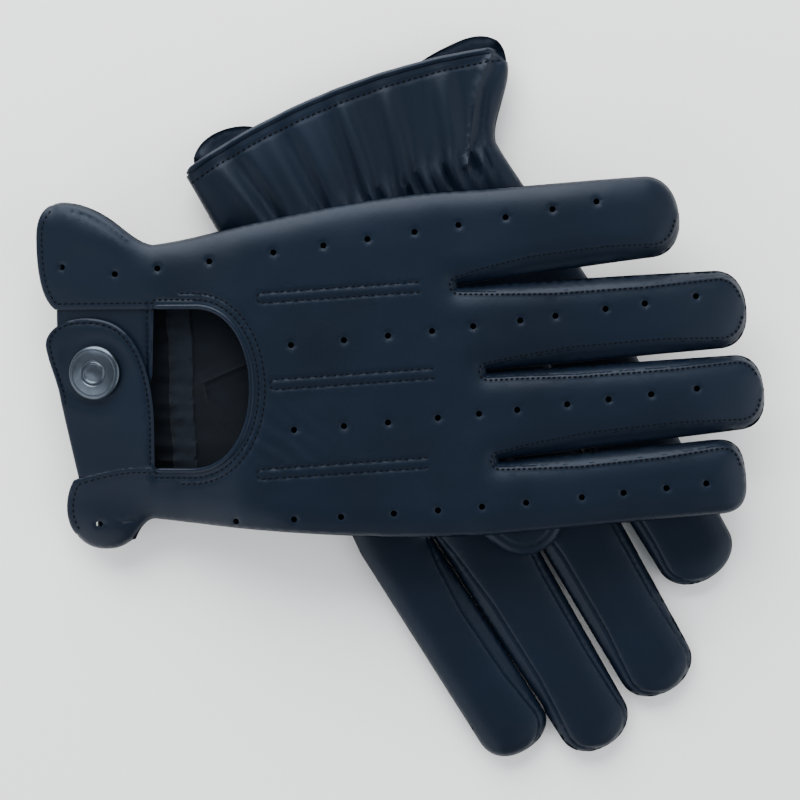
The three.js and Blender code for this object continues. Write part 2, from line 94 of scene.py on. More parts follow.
STRAP = {"top": 22.1, "tip": -22, "left": -35.4, "right": 0.3, "waist": (-30.3, -6.8)}
UNDERLAP = {"left": -31.6, "right": 0.7, "end": -14, "top": 34.2}
UNDERLAP_TOP = 8.12
SNAP = {"x": -19.4, "y": 3.4, "radius": 9.4, "height": 2.6}
ELASTIC = {"width": 8.8, "x": 9.4, "lean": 3, "span": 84, "thickness": 0.8}
POINTS = [{"start": 38, "end": 94}, {"start": 42.5, "end": 96}, {"start": 38, "end": 91}]
POINT_NAMES = ("index", "middle", "little")
POINT_WIDTH = 3.4
POINT_TURN = 4

# How the gloves lie.
WRIST_RECESS = 3.8
RECESS_FROM, RECESS_TO = 8, 32
LOWER_TURN = math.radians(-67.2)
PLATEAU = (-66, 60)
CUFF_RAMP = -86
FINGERTIP_DROOP = 8
DROOP_END = 105
TABLE_CLEARANCE = 0.4
LEFT_POSE = {"gaps": [3.2, 2, 4.7], "shorter": [0, 0, 0, 0], "middle": -2.5, "square": 1}
RIGHT_POSE = {"gaps": [1.1, 1.2, 0.9], "shorter": [1.4, -1.5, 2, 10], "middle": 1.8, "square": 0.25}

# How far the loose leather lies off its pattern.
TIP_STRETCH = 1.6
FLAP_SPLAY = 2.6
PALM_SLANT = 13
MOUTH_BOW = 7
MOUTH_SKEW = 0.8
LOBE_SAG = 13
LOBE_FOLD = 6
LOBE_NECK = 7.5

# How the leather puffs and where it is sewn.
MIDDLE_LEVEL = GLOVE_DEPTH / 2
BACK_PUFF = 4.6
PALM_PUFF = 4.9
CROWN_REACH = 11
CROWN_POWER = 2.2
KNUCKLE_DIP = 0.6
KNUCKLE_X = 104
LOBE_RISE = 0.75
FORK_INSET = 1.5
HEM_STITCH = 3.2
BACK_INSETS = {"second": [3.4, 2.6, 3.6], "first": [4.4, 4.2, 4.8]}
PALM_INSETS = {"second": [5.4, 3.2, 3.2], "first": [4.8, 4.8, 3.4]}
HOLE_RADIUS = 1.05
HOLE_DIP = 0.34
HOLE_PUCKER = 0.07
SEAM_DIP = 0.18
ROW_DIP = 0.26
HEM_DIP = 0.32
BACK_ROW, BINDING_ROWS = 1.05, (1.3, 3.4)
EDGE_ROW = 2.0
THUMB_SEAM = 3.4
THUMB_CREASE = 1.6
# Punched rows in the back: each hole's place along the glove, and the row's place across it at its start,
# middle and end.
ROWS = {
    "index": ((12, 29, 49, 65, 83, 98, 113, 128, 147, 161, 175, 188), (-48.3, -43.5, -34.5)),
    "middle": ((49, 66, 81, 98, 112, 125, 142, 156, 170, 185), (-16.3, -10.3, -2.2)),
    "ring": ((48, 66, 81, 96, 110, 126, 138, 155, 168, 185), (12.6, 19.8, 29.4)),
    "little": ((-13, 2, 20, 42, 59, 74, 90, 105, 121, 137, 152), (37.2, 48.0, 61.5)),
}
CUFF_HOLES = [(-29.4, 39.8), (-19, -49.3)]


def bezier(a, b, c, d, steps=28):
    t = np.linspace(0, 1, steps + 1)[:, None]
    a, b, c, d = (np.array(p, float) for p in (a, b, c, d))
    return a * (1 - t) ** 3 + 3 * b * t * (1 - t) ** 2 + 3 * c * t * t * (1 - t) + d * t ** 3


def chain(*paths):
    """One path after another, without the doubled points."""
    points = np.concatenate([np.atleast_2d(np.array(path, float)) for path in paths])
    keep = np.ones(len(points), bool)
    keep[1:] = np.linalg.norm(np.diff(points, axis=0), axis=1) > 1e-6
    points = points[keep]
    if len(points) > 2 and np.linalg.norm(points[0] - points[-1]) < 1e-6:
        points = points[:-1]
    return points


def divided(path, step, closed=False):
    """A path with points added so that no segment is longer than the step."""
    ends = np.roll(path, -1, axis=0) if closed else path[1:]
    out = []
    for a, b in zip(path, ends):
        count = max(1, math.ceil(np.linalg.norm(b - a) / step - 1e-6))
        out.extend(a + (b - a) * k / count for k in range(count))
    if not closed:
        out.append(path[-1])
    return np.array(out)


def resampled(path, step):
    """A path walked at equal steps."""
    run = np.concatenate([[0], np.cumsum(np.linalg.norm(np.diff(path, axis=0), axis=1))])
    at = np.linspace(0, run[-1], max(2, round(run[-1] / step) + 1))
    return np.stack([np.interp(at, run, path[:, k]) for k in range(path.shape[1])], axis=1)


def left_normals(path):
    way = np.gradient(path, axis=0)
    way /= np.maximum(np.linalg.norm(way, axis=1), 1e-9)[:, None]
    return np.stack([-way[:, 1], way[:, 0]], axis=1)


def inside(points, ring):
    """Which points lie inside a closed ring."""
    a, b = ring, np.roll(ring, -1, axis=0)
    rise = b[:, 1] - a[:, 1]
    rise = np.where(rise == 0, 1e-12, rise)
    found = []
    for chunk in np.array_split(points, max(1, len(points) // 3000)):
        x, y = chunk[:, :1], chunk[:, 1:]
        crosses = (a[:, 1] > y) != (b[:, 1] > y)
        at = a[:, 0] + (y - a[:, 1]) * (b[:, 0] - a[:, 0]) / rise
        found.append((crosses & (x < at)).sum(axis=1) % 2 == 1)
    return np.concatenate(found)


def distance(points, path):
    """How far each point is from a path."""
    a, way = path[:-1], np.diff(path, axis=0)
    length = np.maximum((way ** 2).sum(axis=1), 1e-12)
    found = []
    for chunk in np.array_split(points, max(1, len(points) // 2000)):
        p = chunk[:, None]
        t = np.clip(((p - a) * way).sum(axis=2) / length, 0, 1)
        found.append(np.linalg.norm(p - a - way * t[..., None], axis=2).min(axis=1))
    return np.concatenate(found)


def bump(values, middle, width):
    return np.exp(-((values - middle) / width) ** 2)


def smooth(t):
    t = np.clip(t, 0, 1)
    return t * t * (3 - 2 * t)


def cloud(points, scale, seed):
    """Soft seeded noise over flat points, about -1 to 1."""
    return np.array([noise.noise(Vector((x / scale, y / scale, seed))) for x, y in points])


# ---- Outlines ------------------------------------------------------------------------------------
HALF_WRIST = WRIST_WIDTH / 2
HAND_WIDTH = sum(finger["root"] for finger in FINGERS)
RADIAL_EDGE = HAND_OFFSET - HAND_WIDTH / 2
ULNAR_EDGE = HAND_OFFSET + HAND_WIDTH / 2
FORKS = [(PALM_LENGTH + reach, RADIAL_EDGE + sum(finger["root"] for finger in FINGERS[:i + 1]))
         for i, reach in enumerate(FORK_REACH)]
MOUTH_TOP = CUFF_OFFSET + CUFF_WIDTH / 2
MOUTH_BOTTOM = CUFF_OFFSET - CUFF_WIDTH / 2
THUMB_LAYER = THUMB["depth"] + THUMB_GAP
STACK_HEIGHT = GLOVE_DEPTH + 2 * THUMB_LAYER + THUMB_GAP

RADIAL_SIDE = bezier((0, -HALF_WRIST), (30, -HALF_WRIST - 3), (70, RADIAL_EDGE - 2),
                     (PALM_LENGTH, RADIAL_EDGE))
ULNAR_SIDE = bezier((PALM_LENGTH, ULNAR_EDGE), (65, ULNAR_EDGE - 1.4), (22, HALF_WRIST + 2.5),
                    (0, HALF_WRIST))
LOBE_SIDE = bezier(LOBE["foot"], (-5, -HALF_WRIST - 3), (-3, -HALF_WRIST), (0, -HALF_WRIST), 10)
FLAP_SIDE = bezier((0, HALF_WRIST), (-8, HALF_WRIST + 1), (-15, FLAP_TOP - 3), (-26, FLAP_TOP - 0.8), 14)
FLAP_ROUND = bezier((-26, FLAP_TOP - 0.8), (-33, FLAP_TOP + 1), (-FLAP_REACH, FLAP_TOP - 3),
                    (-FLAP_REACH, FLAP_TOP - 13), 16)
FLAP_EDGE = bezier((-FLAP_REACH, FLAP_TOP - 13), (-FLAP_REACH, 38), (-37, 29),
                   (-FLAP_CORNER, KEYHOLE["top"]), 20)
LOBE_ROUND = bezier(LOBE["corner"], (-LOBE["reach"] - 2, -44), (-LOBE["reach"] + 2, LOBE["low"]),
                    (-17, LOBE["low"] + 0.8), 24)
LOBE_FOOT = bezier((-17, LOBE["low"] + 0.8), (-13, LOBE["low"] + 0.8), (-10, LOBE["foot"][1] - 1.6),
                   LOBE["foot"], 10)


def keyhole_path(margin):
    top, bottom = KEYHOLE["top"] + margin, KEYHOLE["bottom"] - margin
    reach, start = KEYHOLE["reach"] + margin, KEYHOLE["straight"]
    middle, curve = (top + bottom) / 2, (top - bottom) * 0.28
    return chain([(0, top)],
                 bezier((start, top), (start + 12, top), (reach, middle + curve), (reach, middle)),
                 bezier((reach, middle), (reach, middle - curve), (start + 12, bottom), (start - 2, bottom)),
                 [(0, bottom)])


def tip_heights(pose):
    def apart(i):
        return (FINGERS[i]["tip"] + FINGERS[i + 1]["tip"]) / 2 + pose["gaps"][i]
    middle = pose["middle"]
    return [middle - apart(0), middle, middle + apart(1), middle + apart(1) + apart(2)]


def finger_sides(i, pose, steps=20):
    """A finger's side from its root to its tip, and from its tip to its other root."""
    finger = FINGERS[i]
    start = (PALM_LENGTH, RADIAL_EDGE) if i == 0 else (FORKS[i - 1][0], FORKS[i - 1][1] + SLIT / 2)
    end = (PALM_LENGTH, ULNAR_EDGE) if i == 3 else (FORKS[i][0], FORKS[i][1] - SLIT / 2)
    tip = np.array((PALM_LENGTH + finger["reach"] - pose["shorter"][i], tip_heights(pose)[i]))
    axis = tip - (np.array(start) + end) / 2
    axis /= np.linalg.norm(axis)
    side = np.array((-axis[1], axis[0]))
    turn = np.linspace(-1, 1, 2 * steps + 1) * math.pi / 2
    power = 2 / (2 + (finger["square"] - 2) * pose["square"])
    along = TIP_DEPTH * (np.abs(np.cos(turn)) ** power - 1)
    across = np.sign(turn) * np.abs(np.sin(turn)) ** power * finger["tip"] / 2
    arc = tip + along[:, None] * axis + across[:, None] * side
    return chain([start], arc[:steps + 1]), chain(arc[steps:], [end])


def fingers_outline(pose):
    return chain(*[part for i in range(4) for part in finger_sides(i, pose)])


def wall_path(pose, layer):
    """The folded and sewn edge, where the back meets the palm, out to the mouth of the cuff."""
    sewn = chain(LOBE_SIDE, RADIAL_SIDE, fingers_outline(pose), ULNAR_SIDE, FLAP_SIDE)
    if layer == "back":
        return chain(LOBE_ROUND[15:], LOBE_FOOT, sewn, FLAP_ROUND[:7])
    return chain([(-CUFF_LENGTH, MOUTH_BOTTOM)], sewn, [(-CUFF_LENGTH, MOUTH_TOP)])


def lobe_edge():
    """The lobe's folded edge, which laps a little over the strap's root."""
    lap = LOBE_LAP
    return bezier((1.0, KEYHOLE["bottom"] + lap * 0.4), (-9, KEYHOLE["bottom"] + lap + 0.2),
                  (-18, LOBE["corner"][1] + lap + 2.2), LOBE["corner"], 18)


def back_outline(pose):
    cut = BINDING_WIDTH * 0.6
    return chain(RADIAL_SIDE, fingers_outline(pose), ULNAR_SIDE, FLAP_SIDE, FLAP_ROUND, FLAP_EDGE,
                 [(0, KEYHOLE["top"])], [(0, KEYHOLE["top"] + cut)], keyhole_path(cut)[1:-1],
                 [(0, KEYHOLE["bottom"] - cut)], lobe_edge(), LOBE_ROUND, LOBE_FOOT, LOBE_SIDE)


def palm_outline(pose):
    return chain(RADIAL_SIDE, fingers_outline(pose), ULNAR_SIDE, FLAP_SIDE,
                 [(-CUFF_LENGTH, MOUTH_TOP)], [(-CUFF_LENGTH, MOUTH_BOTTOM)], LOBE_SIDE)


def gap_path(i, pose):
    """From one fingertip round the fork to the next fingertip."""
    return divided(finger_sides(i, pose)[1], 1.0), divided(finger_sides(i + 1, pose)[0], 1.0)


def seam_path(i, pose, insets):
    """Where the side strip between two fingers is sewn to a panel, out from one tip and back to the next."""
    sides = []
    for path, middle, fork_first in ((gap_path(i, pose)[0], insets["second"][i], False),
                                     (gap_path(i, pose)[1], insets["first"][i], True)):
        run = np.concatenate([[0], np.cumsum(np.linalg.norm(np.diff(path, axis=0), axis=1))])
        run = run / run[-1] if fork_first else 1 - run / run[-1]
        inset = np.interp(run, [0, 0.1, 0.3, 0.6, 0.86, 0.95, 1],
                          [FORK_INSET, 0.65 * middle, middle, 0.95 * middle, 0.5 * middle, 0.25 * middle, 0])
        sides.append(path + left_normals(path) * inset[:, None])
    angles = np.linspace(-0.5, -1.5, 7)[1:-1] * math.pi
    arc = np.array(FORKS[i]) + (FORK_INSET + SLIT / 2) * np.stack([np.cos(angles), np.sin(angles)], axis=1)
    return chain(sides[0], arc, sides[1])


def side_strip_ring(i, pose, insets):
    """The ring between the seam and the edge of the gap."""
    return chain(seam_path(i, pose, insets), np.concatenate(gap_path(i, pose))[::-1])


def point_path(i, width=POINT_WIDTH):
    """The U of one point's two rows, its closed end towards the cuff."""
    spec, turn = POINTS[i], math.radians(POINT_TURN)
    end = np.array((spec["end"], FORKS[i][1] - 0.6))
    start = np.array((spec["start"], end[1] - (end[0] - spec["start"]) * math.tan(turn)))
    side = np.array((-math.sin(turn), math.cos(turn))) * width / 2
    angles = turn + np.linspace(0.5, 1.5, 9) * math.pi
    arc = start + width / 2 * np.stack([np.cos(angles), np.sin(angles)], axis=1)
    return chain([end + side], arc, [end - side])


def strap_outline(inset=0.0):
    corner = (LOBE["corner"][0] + 1.5 + inset, LOBE["corner"][1] + 0.6 + inset)
    right, left, tip = STRAP["right"] - inset, STRAP["left"] + inset, (STRAP["tip"], STRAP["top"] - inset)
    return chain([corner], [(right, KEYHOLE["bottom"] + 0.3 + inset)],
                 bezier((right, -17), (right, -2), (-3 - inset, STRAP["top"] - 0.5 - inset), tip),
                 bezier(tip, (-30, STRAP["top"] - inset), (left - 1, 17), (left, 12)),
                 bezier((left, 12), (left + 1, 6), (STRAP["waist"][0] - 0.8 + inset, 0),
                        (STRAP["waist"][0] + inset, STRAP["waist"][1]), 14))


def underlap_outline():
    left, right, end, top = (UNDERLAP[key] for key in ("left", "right", "end", "top"))
    end_curve = bezier((left, end + 16), (left, end), (right - 6, end), (right - 1, end + 16))
    return chain([(left, top)], end_curve, [(right, top)])


def capsule(a, b, radius_a, radius_b, steps=40):
    """Two round ends joined by straight sides."""
    turn = math.atan2(b[1] - a[1], b[0] - a[0])
    angles = np.linspace(0.5, 1.5, steps + 1) * math.pi
    first = np.array(a) + radius_a * np.stack([np.cos(turn + angles), np.sin(turn + angles)], axis=1)
    angles = np.linspace(-0.5, 0.5, steps + 1) * math.pi
    second = np.array(b) + radius_b * np.stack([np.cos(turn + angles), np.sin(turn + angles)], axis=1)
    return chain(first, second)


# ---- How each glove lies -------------------------------------------------------------------------
def recess(x):
    return WRIST_RECESS * (1 - smooth((x - RECESS_FROM) / (RECESS_TO - RECESS_FROM)))


class Glove:
    """One glove's pose and its place in the frame."""

    def __init__(self, side, pose, draped):
        self.side, self.pose, self.draped = side, pose, draped
        self.turn = 0 if draped else LOWER_TURN
        self.seed = 3.7 if draped else 11.2
        swing = np.array(JOINTS[f"{side}_thumb_swing"]["pos_m"][:2]) / MM
        self.wrist = swing - self.turned(np.array([[THUMB["x"], THUMB["y"]]]))[0]

    def turned(self, points):
        c, s = math.cos(self.turn), math.sin(self.turn)
        return points @ np.array([[c, s], [-s, c]])

    def lift(self, points):
        """How high the draped glove lies over the lower one: up a ramp at the cuff, flat, then drooping."""
        apart = GLOVES["right"].wrist - self.wrist
        c, s = math.cos(LOWER_TURN), math.sin(LOWER_TURN)

        def across(p):
            return -(p[:, 0] - apart[0]) * s + (p[:, 1] - apart[1]) * c
        far = across(np.array([[-CUFF_LENGTH - 2, MOUTH_BOTTOM]]))[0]
        bend = PLATEAU[0] - CUFF_RAMP
        slope = (STACK_HEIGHT - WRIST_RECESS - TABLE_CLEARANCE) / (bend / 2 + CUFF_RAMP - far)
        at = across(points)
        ramp = STACK_HEIGHT - slope * (bend / 2 + CUFF_RAMP - at)
        ease = STACK_HEIGHT - slope * (PLATEAU[0] - at) ** 2 / (2 * bend)
        droop = STACK_HEIGHT - FINGERTIP_DROOP * ((at - PLATEAU[1]) / (DROOP_END - PLATEAU[1])) ** 2
        level = np.where(at < CUFF_RAMP, ramp, np.where(at < PLATEAU[0], ease, STACK_HEIGHT))
        return np.where(at > PLATEAU[1], droop, level)

    def spread(self, points, layer):
        """The loose leather lies a little off its pattern: the cuffs splay, bow and draw in."""
        out = np.array(points, float)
        x, y = out[:, 0].copy(), out[:, 1].copy()
        cuff = smooth((-x - 4) / 26)
        if self.draped:
            out[:, 0] += TIP_STRETCH * smooth((x - 150) / 50) - FLAP_SPLAY * smooth((-x - 12) / 20)
            if layer == "palm":
                out[:, 0] += PALM_SLANT * smooth((34 - y) / 50) * cuff
        elif layer == "palm":
            across = y / (CUFF_WIDTH / 2)
            out[:, 0] += (-MOUTH_BOW * (1 - across ** 2) + MOUTH_SKEW * across) * cuff
        elif layer == "back":
            low = (y < 0) * smooth((-x - 6) / 18)
            out[:, 0] -= LOBE_SAG * bump(y, -42, 22) * low
            out[:, 1] += LOBE_FOLD * bump(y, -34, 9) * low
            neck = smooth((-x - 1) / 6) * (1 - smooth((-x - 17) / 12)) * smooth((-y - 34) / 18)
            out[:, 1] += LOBE_NECK * neck
        return out

    def placed(self, points, layer=""):
        """Glove millimetres to scene metres."""
        points = self.spread(points, layer)
        z = points[:, 2] - recess(points[:, 0])
        if self.draped:
            z = z + self.lift(points[:, :2])
        else:
            z = GLOVE_DEPTH - z
        return np.column_stack([self.turned(points[:, :2]) + self.wrist, z]) * MM


GLOVES = {}
GLOVES["right"] = Glove("right", RIGHT_POSE, False)
GLOVES["left"] = Glove("left", LEFT_POSE, True)


# ---- Heights -------------------------------------------------------------------------------------
def crown(d, reach=CROWN_REACH, power=CROWN_POWER):
    """A rounded rise from 0 at the folded edge to 1."""
    t = np.clip(d / reach, 0, 1)
    return (1 - (1 - t) ** power) ** (1 / power)


def all_holes():
    found = [np.array(hole) for hole in CUFF_HOLES]
    for stations, (start, middle, end) in ROWS.values():
        t = (np.array(stations) - stations[0]) / (stations[-1] - stations[0])
        level = start * (1 - t) * (1 - 2 * t) + middle * 4 * t * (1 - t) + end * t * (2 * t - 1)
        found += list(np.column_stack([stations, level]))
    return found


def wrist_edge():
    """The back's free edges at the wrist: flap, keyhole and lobe."""
    return [chain(FLAP_ROUND[6:], FLAP_EDGE, [(0, KEYHOLE["top"])]), keyhole_path(BINDING_WIDTH * 0.6),
            chain(lobe_edge(), LOBE_ROUND[:16])]


def facing_line():
    """The turned facing along the flap's upper edge."""
    edge = FLAP_SIDE[4:]
    return edge + left_normals(edge) * 3.2


SIDE_CREASE = bezier((-29, 57.5), (-22, 50), (-10, 42), (4, 34.5), 20)
LOBE_SLIT = np.array([(-18, -49.2), (-12, -48.6), (-6.5, -47.9)])


def back_height(glove, flat):
    pose, x = glove.pose, flat[:, 0]
    z = MIDDLE_LEVEL + BACK_PUFF * crown(distance(flat, wall_path(pose, "back")))
    body = smooth((x - 4) / 30)
    z -= KNUCKLE_DIP * bump(x, KNUCKLE_X, 9)
    z += LOBE_RISE * bump(distance(flat, lobe_edge()), 0, 6) * (x < 0)
    z += body * (0.4 * cloud(flat, 27, glove.seed) + 0.12 * cloud(flat, 9, glove.seed + 4))
    z += (1 - smooth((x + 2) / 34)) * 0.55 * cloud(flat * (1, 1.8), 21, glove.seed + 8)
    for i in range(3):
        seam = seam_path(i, pose, BACK_INSETS)
        q = distance(flat, seam)
        strip = inside(flat, side_strip_ring(i, pose, BACK_INSETS))
        z += np.where(strip, -0.5 * smooth(q / 1.4) - 0.5 * bump(q, 2.6, 1.3), 0)
        z += np.where(strip, 0, 0.14 * bump(q, 0.75, 0.6) - 0.1 * bump(q, 2.0, 0.7))
        z -= SEAM_DIP * bump(q, 0, 0.4)
        rows = distance(flat, divided(point_path(i), 1.0))
        ring = inside(flat, point_path(i))
        z -= ROW_DIP * bump(rows, 0, 0.4)
        z += np.where(ring, 0.1 * smooth(rows / 1.2), 0.04 * bump(rows, 1.3, 0.8))
    for hole in all_holes():
        away = flat - hole
        r = np.hypot(away[:, 0], away[:, 1])
        near = r < 6
        if near.any():
            around = np.arctan2(away[near, 1], away[near, 0])
            r = r[near]
            pucker = np.cos(5 * around + hole[0]) + 0.7 * np.cos(8 * around + hole[1])
            z[near] += -HOLE_DIP * bump(r, HOLE_RADIUS, 0.7) + HOLE_PUCKER * pucker * bump(r, 1.7, 0.7)
    hem = keyhole_path(BINDING_WIDTH)
    q = distance(flat, hem)
    first, second = BINDING_ROWS
    z += -HEM_DIP * bump(q, first, 0.45) - np.where(x > 8, 0.3 * bump(q, second, 0.45), 0)
    z += 0.18 * bump(q, 2.4, 0.6)
    for edge in (wrist_edge()[0], wrist_edge()[2]):
        q = distance(flat, edge)
        z += -0.5 * (1 - crown(q, 0.9, 2)) - 0.2 * bump(q, EDGE_ROW, 0.45)
    z -= 0.3 * bump(distance(flat, facing_line()), 0, 0.5) + 0.4 * bump(distance(flat, LOBE_SLIT), 0, 0.4)
    near_curve = bump(x, 44, 14) * bump(flat[:, 1], -22, 12)
    z += 0.16 * near_curve * np.sin((x * 0.8 + flat[:, 1]) / 1.1 + 2 * cloud(flat, 12, glove.seed + 90))
    return z


def gathers(glove, flat):
    """Folds that the elastic draws into the palm at the wrist, outward positive."""
    x, y = flat[:, 0], flat[:, 1]
    half = HALF_WRIST + np.clip(-x, 0, CUFF_LENGTH) / CUFF_LENGTH * (CUFF_WIDTH - WRIST_WIDTH) / 2
    u = (y - CUFF_OFFSET * np.clip(-x / CUFF_LENGTH, 0, 1)) / half
    u = u + 0.03 * cloud(np.column_stack([u * 60, x * 0.4]), 14, glove.seed)
    small = np.abs(np.cos(u * math.pi * 9.5)) ** 0.8
    drift = cloud(np.column_stack([u * 30, x * 0.15]), 16, glove.seed + 2)
    large = np.cos(2 * math.pi * (3.4 * u + 0.5 * drift))
    large += 0.55 * np.cos(2 * math.pi * (6.3 * u + 0.6 * drift) + 0.8)
    cuff = smooth((16 - x) / 18) * (1 - 0.35 * smooth((-x - 12) / 18))
    hand = smooth((x - 4) / 10) * (1 - smooth((x - 12) / 36))
    edge = smooth((1 - np.abs(u)) / 0.2)
    fold = bump(x, ELASTIC["x"] - 4.5, 6.5) * (2.4 * small - 1.1)
    fold += 1.15 * cuff * large + 0.35 * hand * large + 0.4 * (cuff + hand)
    return fold * edge


def palm_height(glove, flat):
    pose, x = glove.pose, flat[:, 0]
    z = MIDDLE_LEVEL - PALM_PUFF * crown(distance(flat, wall_path(pose, "palm")))
    rumple = 0.2 * cloud(flat, 24, glove.seed + 20) + 0.1 * cloud(flat, 8, glove.seed + 31)
    z -= smooth((x - 20) / 20) * rumple
    for i in range(3):
        q = distance(flat, seam_path(i, pose, PALM_INSETS))
        strip = inside(flat, side_strip_ring(i, pose, PALM_INSETS))
        z += np.where(strip, 0.5 * bump(q, 2.6, 1.6), -0.08 * bump(q, 1.3, 0.8))
        z += 0.5 * bump(q, 0, 0.4)
    root = np.hypot(flat[:, 0] - THUMB["x"], flat[:, 1] - THUMB["y"])
    z += 0.45 * bump(root, THUMB["root"] + THUMB_CREASE, 0.6)
    z -= gathers(glove, flat) * (0.5 if glove.draped else 1.0) * (1 - 0.6 * bump(x, -CUFF_LENGTH, 5))
    z += 0.3 * bump(x, -CUFF_LENGTH + HEM_STITCH, 0.5)
    if not glove.draped:
        crease = distance(flat, SIDE_CREASE)
        beyond = flat[:, 1] > np.interp(x, SIDE_CREASE[:, 0], SIDE_CREASE[:, 1])
        z -= 0.9 * bump(crease, 0, 0.8) - np.where(beyond, 0.8 * bump(crease, 2.6, 2.0), 0)
    return z


# ---- Meshes --------------------------------------------------------------------------------------
HOLE_SIDES = 14
CELL = 0.3


def triangulated(outline, lines=(), holes=(), spacing=1.6, edge_rows=(0.12, 0.45, 1.0, 1.8), dense=None):
    """Flat triangles over an outline, with points kept along its edge, lines and holes.

    Lines are (path, offsets of the rows beside it). Dense is a stretch of x with a finer grid.
    """
    outline = divided(outline, 1.2, closed=True)
    points, edges = [outline], []
    count = len(outline)
    edges += [(k, (k + 1) % count) for k in range(count)]
    rows = []
    normals = left_normals(np.vstack([outline[-1:], outline, outline[:1]]))[1:-1]
    for offset in edge_rows:
        rows.append(outline + normals * offset)
    for path, offsets in lines:
        edges += [(count + k, count + k + 1) for k in range(len(path) - 1)]
        points.append(path)
        count += len(path)
        side = left_normals(path)
        rows += [path + side * offset * sign for offset in offsets for sign in (-1, 1)]
    for centre in holes:
        angles = np.arange(HOLE_SIDES) / HOLE_SIDES * 2 * math.pi
        ring = np.stack([np.cos(angles), np.sin(angles)], axis=1)
        edges += [(count + k, count + (k + 1) % HOLE_SIDES) for k in range(HOLE_SIDES)]
        points.append(centre + ring * HOLE_RADIUS)
        count += HOLE_SIDES
        rows += [centre + ring * (HOLE_RADIUS + more) for more in (0.35, 0.8, 1.4, 2.1)]
    low, high = outline.min(axis=0), outline.max(axis=0)
    grid_x = np.arange(low[0], high[0], spacing)
    grid_y = np.arange(low[1], high[1], spacing * 0.87)
    grid = np.array([(gx + (k % 2) * spacing / 2, gy) for k, gy in enumerate(grid_y) for gx in grid_x])
    if dense:
        fine_x = np.arange(dense[0], dense[1], spacing * 0.5)
        fine_y = np.arange(low[1], high[1], spacing * 0.45)
        grid = np.vstack([grid[(grid[:, 0] < dense[0]) | (grid[:, 0] > dense[1])],
                          [(gx + (k % 2) * spacing / 4, gy) for k, gy in enumerate(fine_y) for gx in fine_x]])
    fixed = np.concatenate(points)
    cells = set(map(tuple, np.floor(fixed / CELL).astype(int)))
    closed = np.vstack([outline, outline[:1]])
    kept = []
    for number, row in enumerate(rows + [grid]):
        row = row[inside(row, outline)]
        if not len(row):
            continue
        edge_gap, hole_gap, cell_reach = (0.08, 0.2, 1) if number < len(rows) else (1.9, 2.5, 2)
        row = row[distance(row, closed) > edge_gap]
        if holes:
            away = np.linalg.norm(row[:, None] - np.array(holes), axis=2).min(axis=1)
            row = row[away > HOLE_RADIUS + hole_gap]
        around = range(-cell_reach, cell_reach + 1)
        for p in row:
            cell = tuple(np.floor(p / CELL).astype(int))
            if not any((cell[0] + i, cell[1] + j) in cells for i in around for j in around):
                cells.add(cell)
                kept.append(p)
    flat = np.vstack([fixed, np.array(kept)])
    result = delaunay_2d_cdt([Vector(p) for p in flat], edges, [], 0, 1e-5)
    flat = np.array([tuple(v) for v in result[0]])
    faces = np.array(result[2])
    middles = flat[faces].mean(axis=1)
    keep = inside(middles, outline)
    for centre in holes:
        keep &= np.linalg.norm(middles - centre, axis=1) > HOLE_RADIUS * 0.98
    faces = faces[keep]
    a, b, c = (flat[faces[:, k]] for k in range(3))
    area = (b[:, 0] - a[:, 0]) * (c[:, 1] - a[:, 1]) - (b[:, 1] - a[:, 1]) * (c[:, 0] - a[:, 0])
    faces = faces[np.abs(area) > 1e-5]
    area = area[np.abs(area) > 1e-5]
    faces[area < 0] = faces[area < 0][:, ::-1]
    return flat, faces


def piece(name, points, faces, materials, body, nodes=(), finish=None, smooth_angle=50):
    """A named mesh in metres that stands for CAD nodes. It rides on a body, or, when given a bend between two
    bodies instead of a body's name, is left unattached.
    """
    mesh = bpy.data.meshes.new(name)
    mesh.from_pydata([tuple(p) for p in points], [], [tuple(int(k) for k in f) for f in faces])
    for material in materials:
        mesh.materials.append(material)
    if finish is not None:
        mesh.polygons.foreach_set("material_index", finish)
    mesh.update()
    made = bpy.data.objects.new(name, mesh)
    bpy.context.scene.collection.objects.link(made)
    return settled(made, body, nodes, smooth_angle)


def settled(made, body, nodes=(), smooth_angle=50):
    bpy.ops.object.select_all(action="DESELECT")
    made.select_set(True)
    bpy.context.view_layer.objects.active = made
    bpy.ops.object.shade_smooth_by_angle(angle=math.radians(smooth_angle))
    if isinstance(body, str):
        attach(made, body)
    else:
        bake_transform(made)
    if nodes:
        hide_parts(*nodes)
    return made


def shell_parts(glove, flat, faces, outer, inner):
    """The points, faces and finish of a closed leather shell between an outer and an inner height."""
    used, packed = np.unique(faces, return_inverse=True)
    faces = packed.reshape(faces.shape)
    flat, outer, inner = flat[used], outer[used], inner[used]
    count = len(flat)
    upward = outer.mean() > inner.mean()
    top, low = (outer, inner) if upward else (inner, outer)
    edges = {}
    for a, b, c in faces:
        for edge in ((a, b), (b, c), (c, a)):
            if edge[::-1] in edges:
                del edges[edge[::-1]]
            else:
                edges[edge] = True
    walls = [wall for a, b in edges for wall in ((a, a + count, b + count), (a, b + count, b))]
    points = np.vstack([np.column_stack([flat, top]), np.column_stack([flat, low])])
    every = np.vstack([faces, faces[:, ::-1] + count, np.array(walls)])
    if not glove.draped:
        every = every[:, ::-1]
    finish = np.zeros(len(every), int)
    finish[slice(len(faces), 2 * len(faces)) if upward else slice(0, len(faces))] = 1
    return points, every, finish


def joined_shells(shells):
    """Several shells as one set of points, faces and finishes."""
    points, faces = merged([(part[0], part[1]) for part in shells])
    return points, faces, np.concatenate([part[2] for part in shells])


def shell(glove, name, parts, materials, body, nodes=(), layer=""):
    points, faces, finish = parts
    return piece(name, glove.placed(points, layer), faces, materials, body, nodes, finish)


